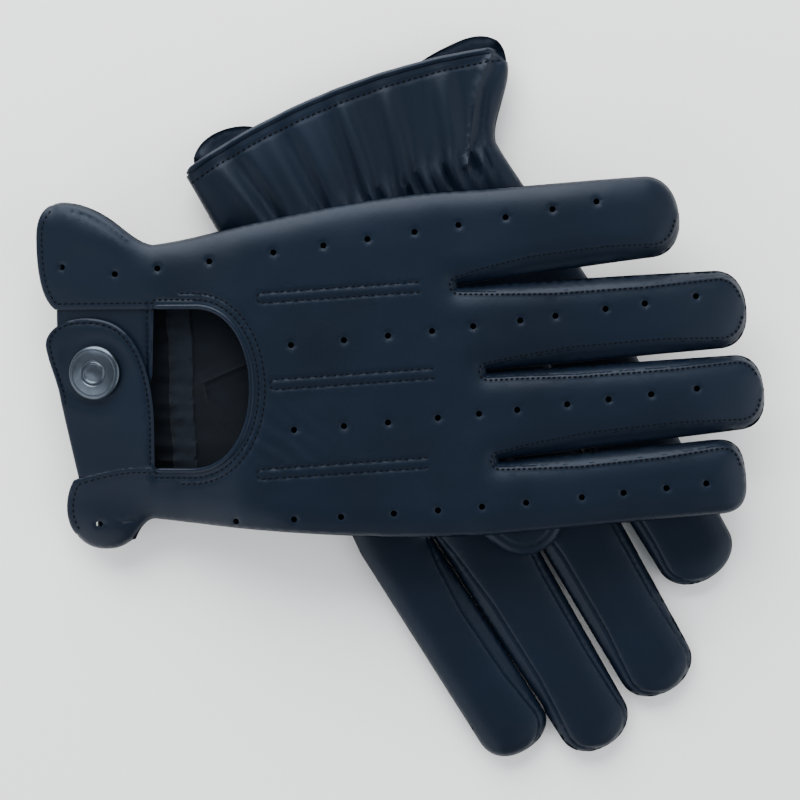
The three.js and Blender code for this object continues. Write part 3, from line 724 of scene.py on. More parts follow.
def swept(glove, path, width, height, sides=14):
    """A rounded strip along a path in glove millimetres, with closed and rounded ends."""
    path = np.asarray(path, float)
    flat = left_normals(path[:, :2])
    steps = np.arange(len(path))
    full = np.sin(np.clip((np.minimum(steps, steps[::-1]) + 0.6) / 3, 0, 1) * math.pi / 2)
    angles = np.arange(sides) / sides * 2 * math.pi
    points = []
    for p, n, size in zip(path, flat, full):
        for angle in angles:
            aside, up = math.cos(angle) * width / 2 * size, math.sin(angle) * height / 2 * size
            points.append((p[0] + n[0] * aside, p[1] + n[1] * aside, p[2] + up))
    faces = []
    for ring in range(len(path) - 1):
        for k in range(sides):
            a, b = ring * sides + k, ring * sides + (k + 1) % sides
            faces.append((a, a + sides, b + sides, b))
    last = (len(path) - 1) * sides
    faces.append(tuple(range(sides)))
    faces.append(tuple(last + k for k in reversed(range(sides))))
    if not glove.draped:
        faces = [face[::-1] for face in faces]
    return np.array(points), faces


def stitched(glove, path, heights, pitch=2.0, length=1.35, radius=0.2, outward=1):
    """Small thread lozenges along a flat path. Each sinks into the leather at both ends."""
    run = resampled(path, pitch)
    way = np.gradient(run, axis=0)
    way /= np.linalg.norm(way, axis=1)[:, None]
    level = heights(run)
    rings, sides = (-0.5, -0.32, 0, 0.32, 0.5), 6
    sizes, rises = (0.25, 0.85, 1, 0.85, 0.25), (-0.7, 0.6, 1.0, 0.6, -0.7)
    points, faces = [], []
    for p, w, z in zip(run, way, level):
        side = np.array((-w[1], w[0]))
        slant = w * 0.98 + side * 0.12
        first = len(points)
        for ring, size, rise in zip(rings, sizes, rises):
            middle = p + slant * ring * length
            for k in range(sides):
                angle = k / sides * 2 * math.pi
                at = middle + side * math.cos(angle) * radius * size
                points.append((*at, z + outward * (rise * radius + 0.02) + math.sin(angle) * radius * size))
        for ring in range(len(rings) - 1):
            for k in range(sides):
                a, b = first + ring * sides + k, first + ring * sides + (k + 1) % sides
                faces.append((a, b, b + sides, a + sides))
        end = first + (len(rings) - 1) * sides
        faces.append(tuple(first + k for k in reversed(range(sides))))
        faces.append(tuple(end + k for k in range(sides)))
    if glove.draped:
        faces = [face[::-1] for face in faces]
    return np.array(points), faces


def merged(parts):
    points, faces, count = [], [], 0
    for part_points, part_faces in parts:
        points.append(part_points)
        faces += [tuple(k + count for k in face) for face in part_faces]
        count += len(part_points)
    return np.vstack(points), faces


# ---- Node groups and materials -------------------------------------------------------------------
def node_group(name, inputs, outputs):
    group = bpy.data.node_groups.new(name, "ShaderNodeTree")
    for label, kind, value in inputs:
        socket = group.interface.new_socket(label, in_out="INPUT", socket_type=kind)
        socket.default_value = value
    for label, kind in outputs:
        group.interface.new_socket(label, in_out="OUTPUT", socket_type=kind)
    return group, group.nodes.new("NodeGroupInput"), group.nodes.new("NodeGroupOutput")


def math_node(tree, operation, a, b):
    made = tree.nodes.new("ShaderNodeMath")
    made.operation = operation
    for socket, value in zip(made.inputs, (a, b)):
        if hasattr(value, "is_output"):
            tree.links.new(value, socket)
        else:
            socket.default_value = value
    return made.outputs[0]


def texture(tree, kind, coordinates, scale, **settings):
    made = tree.nodes.new(kind)
    tree.links.new(coordinates, made.inputs["Vector"])
    if hasattr(scale, "is_output"):
        tree.links.new(scale, made.inputs["Scale"])
    else:
        made.inputs["Scale"].default_value = scale
    for label, value in settings.items():
        if label in made.inputs:
            made.inputs[label].default_value = value
        else:
            setattr(made, label, value)
    return made


def leather_grain_group():
    """Fine pebble, pores and slow creases on object coordinates in metres."""
    group, given, result = node_group(
        "Leather grain",
        [("Pebble per metre", "NodeSocketFloat", 1150.0), ("Crease per metre", "NodeSocketFloat", 95.0)],
        [("Height", "NodeSocketFloat"), ("Tone", "NodeSocketFloat"), ("Dullness", "NodeSocketFloat")])
    place = group.nodes.new("ShaderNodeTexCoord").outputs["Object"]
    pebble = texture(group, "ShaderNodeTexVoronoi", place, given.outputs[0], feature="SMOOTH_F1",
                     Smoothness=0.6)
    fine = texture(group, "ShaderNodeTexNoise", place, 2600.0, Detail=3.0, Roughness=0.6)
    crease = texture(group, "ShaderNodeTexNoise", place, given.outputs[1], Detail=5.0, Roughness=0.62)
    ridge = math_node(group, "ABSOLUTE", math_node(group, "SUBTRACT", crease.outputs[0], 0.5), 0.0)
    slow = texture(group, "ShaderNodeTexNoise", place, 28.0, Detail=2.0, Roughness=0.5)
    height = math_node(group, "MULTIPLY", pebble.outputs["Distance"], 0.55)
    height = math_node(group, "ADD", height, math_node(group, "MULTIPLY", fine.outputs[0], 0.3))
    height = math_node(group, "ADD", height, math_node(group, "MULTIPLY", ridge, 2.2))
    tone = math_node(group, "ADD", math_node(group, "MULTIPLY", slow.outputs[0], 0.7),
                     math_node(group, "MULTIPLY", fine.outputs[0], 0.3))
    dull = math_node(group, "ADD", math_node(group, "MULTIPLY", slow.outputs[0], 0.5),
                     math_node(group, "MULTIPLY", pebble.outputs["Distance"], 0.5))
    for source, socket in zip((height, tone, dull), result.inputs):
        group.links.new(source, socket)
    return group


def fibre_group():
    """Short nap or thread fuzz."""
    group, given, result = node_group(
        "Fibre", [("Fibres per metre", "NodeSocketFloat", 2200.0)],
        [("Height", "NodeSocketFloat"), ("Tone", "NodeSocketFloat")])
    place = group.nodes.new("ShaderNodeTexCoord").outputs["Object"]
    nap = texture(group, "ShaderNodeTexNoise", place, given.outputs[0], Detail=6.0, Roughness=0.75)
    patch = texture(group, "ShaderNodeTexNoise", place, 160.0, Detail=3.0, Roughness=0.6)
    tone = math_node(group, "ADD", math_node(group, "MULTIPLY", nap.outputs[0], 0.6),
                     math_node(group, "MULTIPLY", patch.outputs[0], 0.4))
    group.links.new(nap.outputs[0], result.inputs[0])
    group.links.new(tone, result.inputs[1])
    return group


def new_material(name):
    material = bpy.data.materials.new(name)
    material.use_nodes = True
    return material, material.node_tree, material.node_tree.nodes["Principled BSDF"]


def ramp(tree, value, low, high, spread=(0.25, 0.75)):
    made = tree.nodes.new("ShaderNodeValToRGB")
    for stop, colour, at in zip(made.color_ramp.elements, (low, high), spread):
        stop.color, stop.position = (*colour, 1), at
    tree.links.new(value, made.inputs[0])
    return made.outputs[0]


def ranged(tree, value, low, high):
    made = tree.nodes.new("ShaderNodeMapRange")
    made.inputs["To Min"].default_value, made.inputs["To Max"].default_value = low, high
    tree.links.new(value, made.inputs["Value"])
    return made.outputs[0]


def bumped(tree, shader, height, strength, depth):
    made = tree.nodes.new("ShaderNodeBump")
    made.inputs["Strength"].default_value = strength
    made.inputs["Distance"].default_value = depth
    tree.links.new(height, made.inputs["Height"])
    tree.links.new(made.outputs[0], shader.inputs["Normal"])


def placed_group(tree, group, *values):
    made = tree.nodes.new("ShaderNodeGroup")
    made.node_tree = group
    for socket, value in zip(made.inputs, values):
        socket.default_value = value
    return made.outputs


def shade(colour, factor):
    return tuple(channel * factor for channel in colour)


# Each leather's pebbles per metre, roughness from and to, and depth of grain in metres.
LEATHERS = {
    "Satin leather": (1150.0, 0.37, 0.49, 0.00009),
    "Palm leather": (1000.0, 0.38, 0.5, 0.00011),
    "Rolled edge leather": (1500.0, 0.30, 0.44, 0.00005),
}
CREASES_PER_METRE = 95.0
LEATHER_GLOSS = 0.2
LEATHER_GLOSS_TINT = (0.66, 0.75, 0.9, 1)
CLOTH_GLOSS = 0.1
# Each cloth's colour by name, fibres per metre, depth of fibre in metres and sheen.
CLOTHS = {
    "Suede inside": ("suede", 1900.0, 0.00025, 0.03),
    "Elastic band": ("elastic", 2600.0, 0.0002, 0.04),
    "Sewing thread": ("thread", 5200.0, 0.00005, 0.0),
}
# Each metal's share of the snap's colour, and roughness from and to.
METALS = {"Brushed snap metal": (1.0, 0.24, 0.4), "Aged snap metal": (0.45, 0.38, 0.6)}


def make_materials(colours):
    grain, fibre = leather_grain_group(), fibre_group()
    made = {}
    leather = tuple(colours.leather)
    for name, (pebble, low, high, depth) in LEATHERS.items():
        material, tree, shader = new_material(name)
        height, tone, dull = placed_group(tree, grain, pebble, CREASES_PER_METRE)
        tree.links.new(ramp(tree, tone, shade(leather, 0.75), shade(leather, 1.3)),
                       shader.inputs["Base Color"])
        tree.links.new(ranged(tree, dull, low, high), shader.inputs["Roughness"])
        bumped(tree, shader, height, 0.3, depth)
        shader.inputs["Specular IOR Level"].default_value = LEATHER_GLOSS
        shader.inputs["Specular Tint"].default_value = LEATHER_GLOSS_TINT
        made[name] = material
    for name, (cloth, fibres, depth, sheen) in CLOTHS.items():
        colour = tuple(getattr(colours, cloth))
        material, tree, shader = new_material(name)
        height, tone = placed_group(tree, fibre, fibres)
        tree.links.new(ramp(tree, tone, shade(colour, 0.55), shade(colour, 1.45), (0.3, 0.7)),
                       shader.inputs["Base Color"])
        tree.links.new(ranged(tree, tone, 0.75, 1.0), shader.inputs["Roughness"])
        bumped(tree, shader, height, 0.7, depth)
        shader.inputs["Sheen Weight"].default_value = sheen
        shader.inputs["Specular IOR Level"].default_value = CLOTH_GLOSS
        made[name] = material
    for name, (share, low, high) in METALS.items():
        material, tree, shader = new_material(name)
        metal = shade(tuple(colours.metal), share)
        place = tree.nodes.new("ShaderNodeTexCoord").outputs["Object"]
        stretch = tree.nodes.new("ShaderNodeMapping")
        stretch.inputs["Scale"].default_value = (0.12, 1, 1)
        tree.links.new(place, stretch.inputs["Vector"])
        scratch = texture(tree, "ShaderNodeTexNoise", stretch.outputs[0], 6500.0, Detail=4.0, Roughness=0.7)
        stain = texture(tree, "ShaderNodeTexNoise", place, 420.0, Detail=5.0, Roughness=0.6)
        tree.links.new(ramp(tree, stain.outputs[0], shade(metal, 0.72), shade(metal, 1.08)),
                       shader.inputs["Base Color"])
        tree.links.new(ranged(tree, scratch.outputs[0], low, high), shader.inputs["Roughness"])
        bumped(tree, shader, scratch.outputs[0], 0.25, 0.00003)
        shader.inputs["Metallic"].default_value = 1
        made[name] = material
    return made


# ---- Pieces of one glove -------------------------------------------------------------------------
MATERIALS = {}


def leather_and_suede(kind="Satin leather"):
    return [MATERIALS[kind], MATERIALS["Suede inside"]]


def inner_level(outer, towards_middle):
    """The suede side of a panel: a leather's thickness in, and never far past the sewn edge."""
    if towards_middle < 0:
        return np.maximum(outer - LEATHER, np.minimum(outer - 0.25, MIDDLE_LEVEL - 0.2))
    return np.minimum(outer + LEATHER, np.maximum(outer + 0.25, MIDDLE_LEVEL + 0.2))


def back_lines(pose):
    fine = (0.35, 0.75, 1.2, 1.75, 2.4)
    lines = [(divided(seam_path(i, pose, BACK_INSETS), 0.9), fine) for i in range(3)]
    lines += [(divided(point_path(i), 0.9), (0.4, 0.85, 1.4)) for i in range(3)]
    hem = keyhole_path(BINDING_WIDTH)
    for offset, from_x in zip(BINDING_ROWS, (1, 9)):
        ring = divided(hem, 0.9)
        ring = ring + left_normals(ring) * offset
        lines.append((ring[ring[:, 0] > from_x], (0.4, 0.8)))
    lines.append((divided(facing_line(), 0.9), (0.4, 0.9)))
    lines.append((divided(LOBE_SLIT[1:], 0.8), (0.3, 0.7)))
    return lines


GAP_NAMES = ("index_middle", "middle_ring", "ring_little")


def back_pattern(glove):
    """The back's flat triangles with its outer and inner heights."""
    outline = back_outline(glove.pose)
    ring = np.vstack([outline, outline[:1]])
    holes = [hole for hole in all_holes() if inside(hole[None], outline)[0]
             and distance(hole[None], ring)[0] > HOLE_RADIUS + 1.2]
    flat, faces = triangulated(outline, back_lines(glove.pose), holes)
    outer = back_height(glove, flat)
    return flat, faces, outer, inner_level(outer, -1)


def hem_stitch_line():
    at = -CUFF_LENGTH + HEM_STITCH
    return np.array([(at, MOUTH_BOTTOM + 1.5), (at, MOUTH_TOP - 1.5)])


# Folds that show on the palm's suede side through the keyhole.
INNER_FOLDS = [((17, -0.3), (32, 6)), ((17.6, -1.4), (19, -6), (31, -20))]
FACING_WIDTH = 8


def palm_pattern(glove):
    """The palm's flat triangles with its outer and inner heights."""
    lines = [(divided(seam_path(i, glove.pose, PALM_INSETS), 0.9), (0.35, 0.8, 1.4)) for i in range(3)]
    root, radius = (THUMB["x"], THUMB["y"]), THUMB["root"] + THUMB_CREASE
    ring = capsule(root, (root[0] + 0.01, root[1]), radius, radius)
    lines.append((divided(np.vstack([ring, ring[:1]]), 1.2), (0.5, 1.0)))
    lines.append((divided(hem_stitch_line(), 1.2), (0.4, 0.8)))
    folds = [divided(np.array(fold, float), 0.8) for fold in INNER_FOLDS]
    if not glove.draped:
        lines.append((resampled(SIDE_CREASE, 0.9), (0.5, 1.0)))
    lines += [(fold, (0.5, 1.1, 2.0)) for fold in folds]
    flat, faces = triangulated(palm_outline(glove.pose), lines, dense=(-CUFF_LENGTH, 24))
    outer = palm_height(glove, flat)
    inner = inner_level(outer, 1)
    for fold in folds:
        away = distance(flat, fold)
        inner = inner + 1.3 * bump(away, 0, 0.7) + 0.6 * bump(away, 2.0, 1.6)
    return flat, faces, outer, inner


def build_leather(glove):
    """The back, the palm and the three side strips that join their fingers."""
    side, body = glove.side, f"{glove.side}_glove"
    strips = {name: [] for name in GAP_NAMES}
    for name, pattern, insets, kind in (("back", back_pattern(glove), BACK_INSETS, "Satin leather"),
                                        ("palm", palm_pattern(glove), PALM_INSETS, "Palm leather")):
        flat, faces, outer, inner = pattern
        middles = flat[faces].mean(axis=1)
        panel = np.ones(len(faces), bool)
        if name == "back":
            flap, _, lobe = wrist_edge()
            faced = np.minimum(distance(middles, flap), distance(middles, lobe)) < FACING_WIDTH
        else:
            faced = middles[:, 0] < -CUFF_LENGTH + FACING_WIDTH
        for i, gap in enumerate(GAP_NAMES):
            strip = inside(middles, side_strip_ring(i, glove.pose, insets))
            panel &= ~strip
            strips[gap].append(shell_parts(glove, flat, faces[strip], outer, inner))
        points, every, finish = shell_parts(glove, flat, faces[panel], outer, inner)
        turned_in = np.flatnonzero(faced[panel]) + (panel.sum() if name == "back" else 0)
        finish[turned_in] = 0
        shell(glove, f"{side}_{name}", (points, every, finish), leather_and_suede(kind), body,
              [f"{side}_{name}_panel"], name)
    for gap, parts in strips.items():
        shell(glove, f"{side}_side_strip_{gap}", joined_shells(parts), leather_and_suede(), body,
              [f"{side}_fourchette_{gap}"])


def build_thumb(glove):
    """A stuffed flat thumb, sewn round its edge, on the palm."""
    turn = math.radians(THUMB["turn"])
    root = np.array((THUMB["x"], THUMB["y"]))
    tip = root + THUMB["length"] * np.array((math.cos(turn), math.sin(turn)))
    outline = capsule(root, tip, THUMB["root"], THUMB["tip"])
    seam = capsule(root, tip, THUMB["root"] - THUMB_SEAM, THUMB["tip"] - THUMB_SEAM)
    seam = divided(np.vstack([seam, seam[:1]]), 0.9)
    flat, faces = triangulated(outline, [(seam, (0.35, 0.8, 1.4))])
    edge = np.vstack([outline, outline[:1]])
    d, q = distance(flat, edge), distance(flat, seam)
    half = THUMB["depth"] / 2
    middle = -THUMB_GAP - half
    wrinkle = 0.18 * cloud(flat, 11, glove.seed + 50) * smooth(d / 4)
    outer = middle - half * crown(d, 10) + 0.4 * bump(q, 0, 0.4) - wrinkle
    near = middle + half * crown(d, 6)
    parts = shell_parts(glove, flat, faces, outer, np.maximum(near, outer + 0.1))
    shell(glove, f"{glove.side}_thumb_leather", parts, [MATERIALS["Palm leather"]] * 2,
          f"{glove.side}_thumb_body", [f"{glove.side}_thumb"])


def plate(outline, top, thickness, edge=0.8, rows=(), lines=(), soft=0.0, seed=0):
    """A strap-like plate with a rounded edge, and grooves where it is sewn."""
    flat, faces = triangulated(outline, lines, edge_rows=(0.1, 0.3, 0.6, 1.0, 1.5))
    d = distance(flat, np.vstack([outline, outline[:1]]))
    z = top - 0.45 * (1 - crown(d, edge, 2)) + soft * cloud(flat, 16, seed) * smooth(d / 4)
    for path, depth in rows:
        z = z - depth * bump(distance(flat, path), 0, 0.42)
    low = top - thickness + 0.3 * (1 - crown(d, edge, 2))
    return flat, faces, z, np.minimum(low, z - 0.1)


STRAP_TOP = GLOVE_DEPTH
STITCH_INSET = 1.5
BEND_LENGTH = 5


def strap_seam():
    """The strap's edge stitching: up one side, round the free end and down the other."""
    path = strap_outline(STITCH_INSET)
    return divided(path[1:], 1.0)


def strap_bow(flat):
    """The strap dips in a ring round the snap and rises a little beyond it."""
    away = np.hypot(flat[:, 0] - SNAP["x"], flat[:, 1] - SNAP["y"])
    return -0.35 * bump(away, SNAP["radius"] + 1.2, 1.8) + 0.2 * bump(away, SNAP["radius"] + 5, 3)


def strap_bend(glove):
    """The two bodies, and the start and end of where the strap's leather bends from the glove to the strap's
    own body just past its stitched root.
    """
    joint = JOINTS[f"{glove.side}_strap_hinge"]
    start, axis = Vector(joint["pos_m"]), Vector(joint["axis"])
    way = Vector(glove.placed([(SNAP["x"], SNAP["y"], STRAP_TOP)])[0]) - start
    way -= way.project(axis)
    end = start + way.normalized() * BEND_LENGTH * MM
    return f"{glove.side}_glove", f"{glove.side}_strap_body", start, end


def build_strap(glove):
    side, body = glove.side, strap_bend(glove)
    seam = strap_seam()
    flat, faces, top, low = plate(strap_outline(), STRAP_TOP, LEATHER, rows=[(seam, 0.28)],
                                  lines=[(seam, (0.4, 0.8))], soft=0.16, seed=glove.seed + 60)
    bow = strap_bow(flat)
    shell(glove, f"{side}_strap_leather", shell_parts(glove, flat, faces, top + bow, low + bow),
          [MATERIALS["Satin leather"]] * 2, body, [f"{side}_strap"])
    flat, faces, top, low = plate(strap_outline(1.0), STRAP_TOP - LEATHER - 0.24, 0.5, edge=0.4)
    bow = np.minimum(strap_bow(flat), 0)
    parts = shell_parts(glove, flat, faces, top + bow, np.minimum(low, top - 0.3) + bow)
    shell(glove, f"{side}_strap_suede", parts, [MATERIALS["Suede inside"]] * 2, body,
          [f"{side}_strap_lining"])


def underlap_seams():
    """The stitched line inside the underlap's edge, and the one along its rolled side."""
    right, top = UNDERLAP["right"], UNDERLAP["top"]
    edge = divided(underlap_outline(), 1.0)
    run = edge[edge[:, 1] < top - 1]
    near = run + left_normals(run) * STITCH_INSET
    roll = divided(np.array([(right - 2.6, top - 2), (right - 2.9, 2)], float), 1.0)
    return near, roll


def underlap_rise(flat):
    """How far the underlap climbs towards its sewn end under the flap."""
    return 0.9 * smooth((flat[:, 1] - 25) / 8)


def build_underlap(glove):
    near, roll = underlap_seams()
    flat, faces, top, low = plate(underlap_outline(), UNDERLAP_TOP, 1.0, rows=[(near, 0.2), (roll, 0.3)],
                                  lines=[(roll, (0.4, 0.8))], soft=0.12, seed=glove.seed + 70)
    rolled = np.where(flat[:, 0] > UNDERLAP["right"] - 2.4, 0.35, 0) * smooth((flat[:, 1] + 12) / 10)
    rise = underlap_rise(flat)
    parts = shell_parts(glove, flat, faces, top + rolled + rise, low + rise)
    shell(glove, f"{glove.side}_underlap_leather", parts, leather_and_suede(), f"{glove.side}_glove",
          [f"{glove.side}_underlap"])


def build_binding(glove):
    """The rolled edge round the keyhole."""
    path = resampled(keyhole_path(BINDING_WIDTH * 0.35), 1.0)
    level = GLOVE_DEPTH - 0.75 + 0.08 * cloud(path, 9, glove.seed + 80)
    points, faces = swept(glove, np.column_stack([path, level]), 1.9, 1.7)
    piece(f"{glove.side}_keyhole_roll", glove.placed(points), faces, [MATERIALS["Rolled edge leather"]],
          f"{glove.side}_glove", [f"{glove.side}_keyhole_binding"])


def build_hem(glove):
    """The narrow roll along the palm's hem."""
    edge = resampled(np.array([(-CUFF_LENGTH, MOUTH_BOTTOM + 0.6), (-CUFF_LENGTH, MOUTH_TOP - 0.6)]), 1.0)
    level = palm_height(glove, edge + (0.02, 0)) + 0.35
    roll = np.column_stack([edge[:, 0] - 0.7, edge[:, 1], level])
    points, faces = swept(glove, roll, 2.4, 1.9)
    piece(f"{glove.side}_cuff_roll", glove.placed(points, "palm"), faces, [MATERIALS["Rolled edge leather"]],
          f"{glove.side}_glove", [f"{glove.side}_cuff_hem"])


def build_elastic(glove):
    """The ribbed band sewn across the palm's suede side."""
    width, x, lean, span = (ELASTIC[key] for key in ("width", "x", "lean", "span"))
    outline = np.array([(x - width / 2 + lean / 2, -span / 2), (x + width / 2 + lean / 2, -span / 2),
                        (x + width / 2 - lean / 2, span / 2), (x - width / 2 - lean / 2, span / 2)])
    ring = divided(outline, 1.0, closed=True)
    ring[:, 0] += 0.3 * np.sin(ring[:, 1] / 6.1) + 0.1 * np.sin(ring[:, 1] / 1.9)
    flat, faces = triangulated(ring, spacing=0.9, edge_rows=(0.2, 0.5))
    base = inner_level(palm_height(glove, flat), 1)
    d = distance(flat, np.vstack([ring, ring[:1]]))
    top = base + 0.15 + ELASTIC["thickness"] * crown(d, 0.8, 2) + 0.1 * np.cos(flat[:, 0] * 2 * math.pi / 1.1)
    low = base + 0.05
    parts = shell_parts(glove, flat, faces, top, low)
    shell(glove, f"{glove.side}_elastic_band", parts, [MATERIALS["Elastic band"]] * 2, f"{glove.side}_glove",
          [f"{glove.side}_wrist_elastic"])


def turn_up(name, profile, sides=64):
    """A turned solid from (radius, height) rings, drawn up from a disc by extruding and scaling."""
    bpy.ops.object.select_all(action="DESELECT")
    radius, height = profile[0]
    bpy.ops.mesh.primitive_circle_add(vertices=sides, radius=radius * MM, fill_type="NGON",
                                      location=(0, 0, height * MM))
    bpy.ops.object.transform_apply(location=True, rotation=True, scale=True)
    made = bpy.context.active_object
    made.name = name
    bpy.ops.object.mode_set(mode="EDIT")
    bpy.ops.mesh.select_all(action="SELECT")
    for next_radius, next_height in profile[1:]:
        bpy.ops.mesh.extrude_region_move(
            TRANSFORM_OT_translate={"value": (0, 0, (next_height - height) * MM)})
        factor = next_radius / radius
        bpy.ops.transform.resize(value=(factor, factor, 1), center_override=(0, 0, next_height * MM))
        radius, height = next_radius, next_height
    bpy.ops.mesh.select_all(action="SELECT")
    bpy.ops.mesh.normals_make_consistent(inside=False)
    bpy.ops.object.mode_set(mode="OBJECT")
    return made


def snap_profiles():
    """Turned shapes of the snap's four pieces, from the lowest ring up."""
    base, radius, height = GLOVE_DEPTH + 0.3, SNAP["radius"], SNAP["height"]
    cap = [(radius - 1.6, base), (radius - 0.25, base), (radius, base + 0.3), (radius, base + 1.0),
           (radius - 0.12, base + 1.35), (radius - 0.45, base + 1.7), (radius - 1.0, base + height - 0.62),
           (radius - 1.45, base + height - 0.55), (radius - 1.75, base + height - 0.62),
           (radius - 2.0, base + height - 0.55), (6.2, base + height - 0.24), (4.7, base + height - 0.12),
           (4.4, base + height - 0.36), (4.0, base + height - 0.4), (3.7, base + height - 0.12),
           (3.3, base + height - 0.04), (2.9, base + height - 0.3), (2.2, base + height - 0.26),
           (1.2, base + height - 0.04), (0.15, base + height)]
    lining = GLOVE_DEPTH - LEATHER
    socket = [(2.6, lining - 0.1), (5.2, lining - 0.1), (5.2, base), (7.2, base), (7.2, base + 0.35),
              (7.0, base + 0.6), (2.8, base + 0.6)]
    stud = [(4.5, UNDERLAP_TOP + 0.3), (4.8, UNDERLAP_TOP + 0.4), (4.7, UNDERLAP_TOP + 0.58),
            (2.3, UNDERLAP_TOP + 0.7), (2.0, UNDERLAP_TOP + 1.0), (2.25, UNDERLAP_TOP + 1.5),
            (2.2, GLOVE_DEPTH), (1.7, GLOVE_DEPTH + 0.25), (0.2, GLOVE_DEPTH + 0.3)]
    low = UNDERLAP_TOP - 1.9
    post = [(5.8, low), (6.0, low + 0.15), (5.8, low + 0.55), (1.3, low + 0.62), (1.2, low + 1.0),
            (1.2, GLOVE_DEPTH - LEATHER - 0.1), (0.15, GLOVE_DEPTH - LEATHER)]
    return {"cap": cap, "socket": socket, "stud": stud, "post": post}


def build_snap(glove):
    side = glove.side
    for name, profile in snap_profiles().items():
        made = turn_up(f"{side}_snap_{name}_turned", profile)
        points = np.array([tuple(vertex.co) for vertex in made.data.vertices]) / MM
        centre = np.array((SNAP["x"], SNAP["y"], GLOVE_DEPTH))
        middle, ahead, aside = glove.placed([centre, centre + (1, 0, 0), centre + (0, 1, 0)])
        along, across = ahead - middle, aside - middle
        along, across = along / np.linalg.norm(along), across / np.linalg.norm(across)
        up = np.cross(along, across) * (1 if glove.draped else -1)
        points[:, 2] -= GLOVE_DEPTH
        world = middle + (points[:, :1] * along + points[:, 1:2] * across + points[:, 2:] * up) * MM
        for vertex, at in zip(made.data.vertices, world):
            vertex.co = at
        if not glove.draped:
            made.data.flip_normals()
        made.data.materials.append(MATERIALS["Brushed snap metal" if name == "cap" else "Aged snap metal"])
        body = f"{side}_strap_body" if name in ("cap", "socket") else f"{side}_glove"
        settled(made, body, [f"{side}_snap_{name}"], 28)


def back_level(glove):
    return lambda flat: back_height(glove, flat)


def palm_level(glove):
    return lambda flat: palm_height(glove, flat)


def underlap_level(flat):
    return UNDERLAP_TOP + 0.2 + underlap_rise(flat)


def strap_level(flat):
    return STRAP_TOP - 0.1 + strap_bow(flat)


def thread_piece(glove, name, parts, body, nodes=(), layer=""):
    points, faces = merged(parts)
    return piece(name, glove.placed(points, layer), faces, [MATERIALS["Sewing thread"]], body,
                 nodes, smooth_angle=60)


def build_points(glove):
    """The three double rows on the back of the hand."""
    for i, name in enumerate(POINT_NAMES):
        rows = stitched(glove, point_path(i), back_level(glove), pitch=2.2, length=1.5, radius=0.19)
        thread_piece(glove, f"{glove.side}_point_rows_{name}", [rows], f"{glove.side}_glove",
                     [f"{glove.side}_point_stitching_{name}"])


def build_seams(glove):
    """Stitching along the fingers' side strips, the keyhole, the flap, the lobe, the strap and the hem."""
    side, level = glove.side, back_level(glove)
    outline, wall = back_outline(glove.pose), wall_path(glove.pose, "back")
    parts = []
    for i in range(3):
        row = resampled(seam_path(i, glove.pose, BACK_INSETS), 0.8)
        row = row + left_normals(row) * BACK_ROW
        row = row[inside(row, outline) & (distance(row, wall) > 1.75)]
        parts.append(stitched(glove, row, level, pitch=1.8, length=1.25, radius=0.24))
    hem = resampled(keyhole_path(BINDING_WIDTH), 0.8)
    for offset, from_x in zip(BINDING_ROWS, (0, 10)):
        row = hem + left_normals(hem) * offset
        parts.append(stitched(glove, row[row[:, 0] > from_x], level, length=1.45))
    for edge in (wrist_edge()[0], wrist_edge()[2]):
        row = resampled(edge, 0.8)
        row = row + left_normals(row) * EDGE_ROW
        row = row[inside(row, outline) & (distance(row, wall) > 2.6)]
        row = row[distance(row, edge) > EDGE_ROW - 0.1]
        parts.append(stitched(glove, row, level, length=1.45))
    thread_piece(glove, f"{side}_back_thread", parts, f"{side}_glove", (), "back")
    _, roll = underlap_seams()
    rows = [stitched(glove, roll, underlap_level, length=1.4, radius=0.18)]
    thread_piece(glove, f"{side}_underlap_thread", rows, f"{side}_glove")
    rows = [stitched(glove, strap_seam(), strap_level, length=1.4, radius=0.19)]
    thread_piece(glove, f"{side}_strap_thread", rows, strap_bend(glove))
    rows = [stitched(glove, resampled(hem_stitch_line(), 1.0), palm_level(glove), pitch=2.1, length=1.5,
                     radius=0.24, outward=-1)]
    thread_piece(glove, f"{side}_hem_thread", rows, f"{side}_glove", (), "palm")


# ---- The add-on ----------------------------------------------------------------------------------
class GloveColours(bpy.types.PropertyGroup):
    """Base colours, linear."""
    leather: bpy.props.FloatVectorProperty(
        name="Leather", description="Smooth outer leather", subtype="COLOR", size=3, min=0, max=1,
        default=(0.0017, 0.0042, 0.0098))
    suede: bpy.props.FloatVectorProperty(
        name="Suede", description="Inner side of the leather", subtype="COLOR", size=3, min=0, max=1,
        default=(0.0018, 0.0032, 0.0056))
    elastic: bpy.props.FloatVectorProperty(
        name="Elastic", description="Wrist elastic", subtype="COLOR", size=3, min=0, max=1,
        default=(0.0042, 0.0066, 0.0110))
    thread: bpy.props.FloatVectorProperty(
        name="Thread", description="Sewing thread", subtype="COLOR", size=3, min=0, max=1,
        default=(0.0006, 0.0010, 0.0020))
    metal: bpy.props.FloatVectorProperty(
        name="Snap metal", description="Brushed gunmetal", subtype="COLOR", size=3, min=0, max=1,
        default=(0.065, 0.08, 0.10))


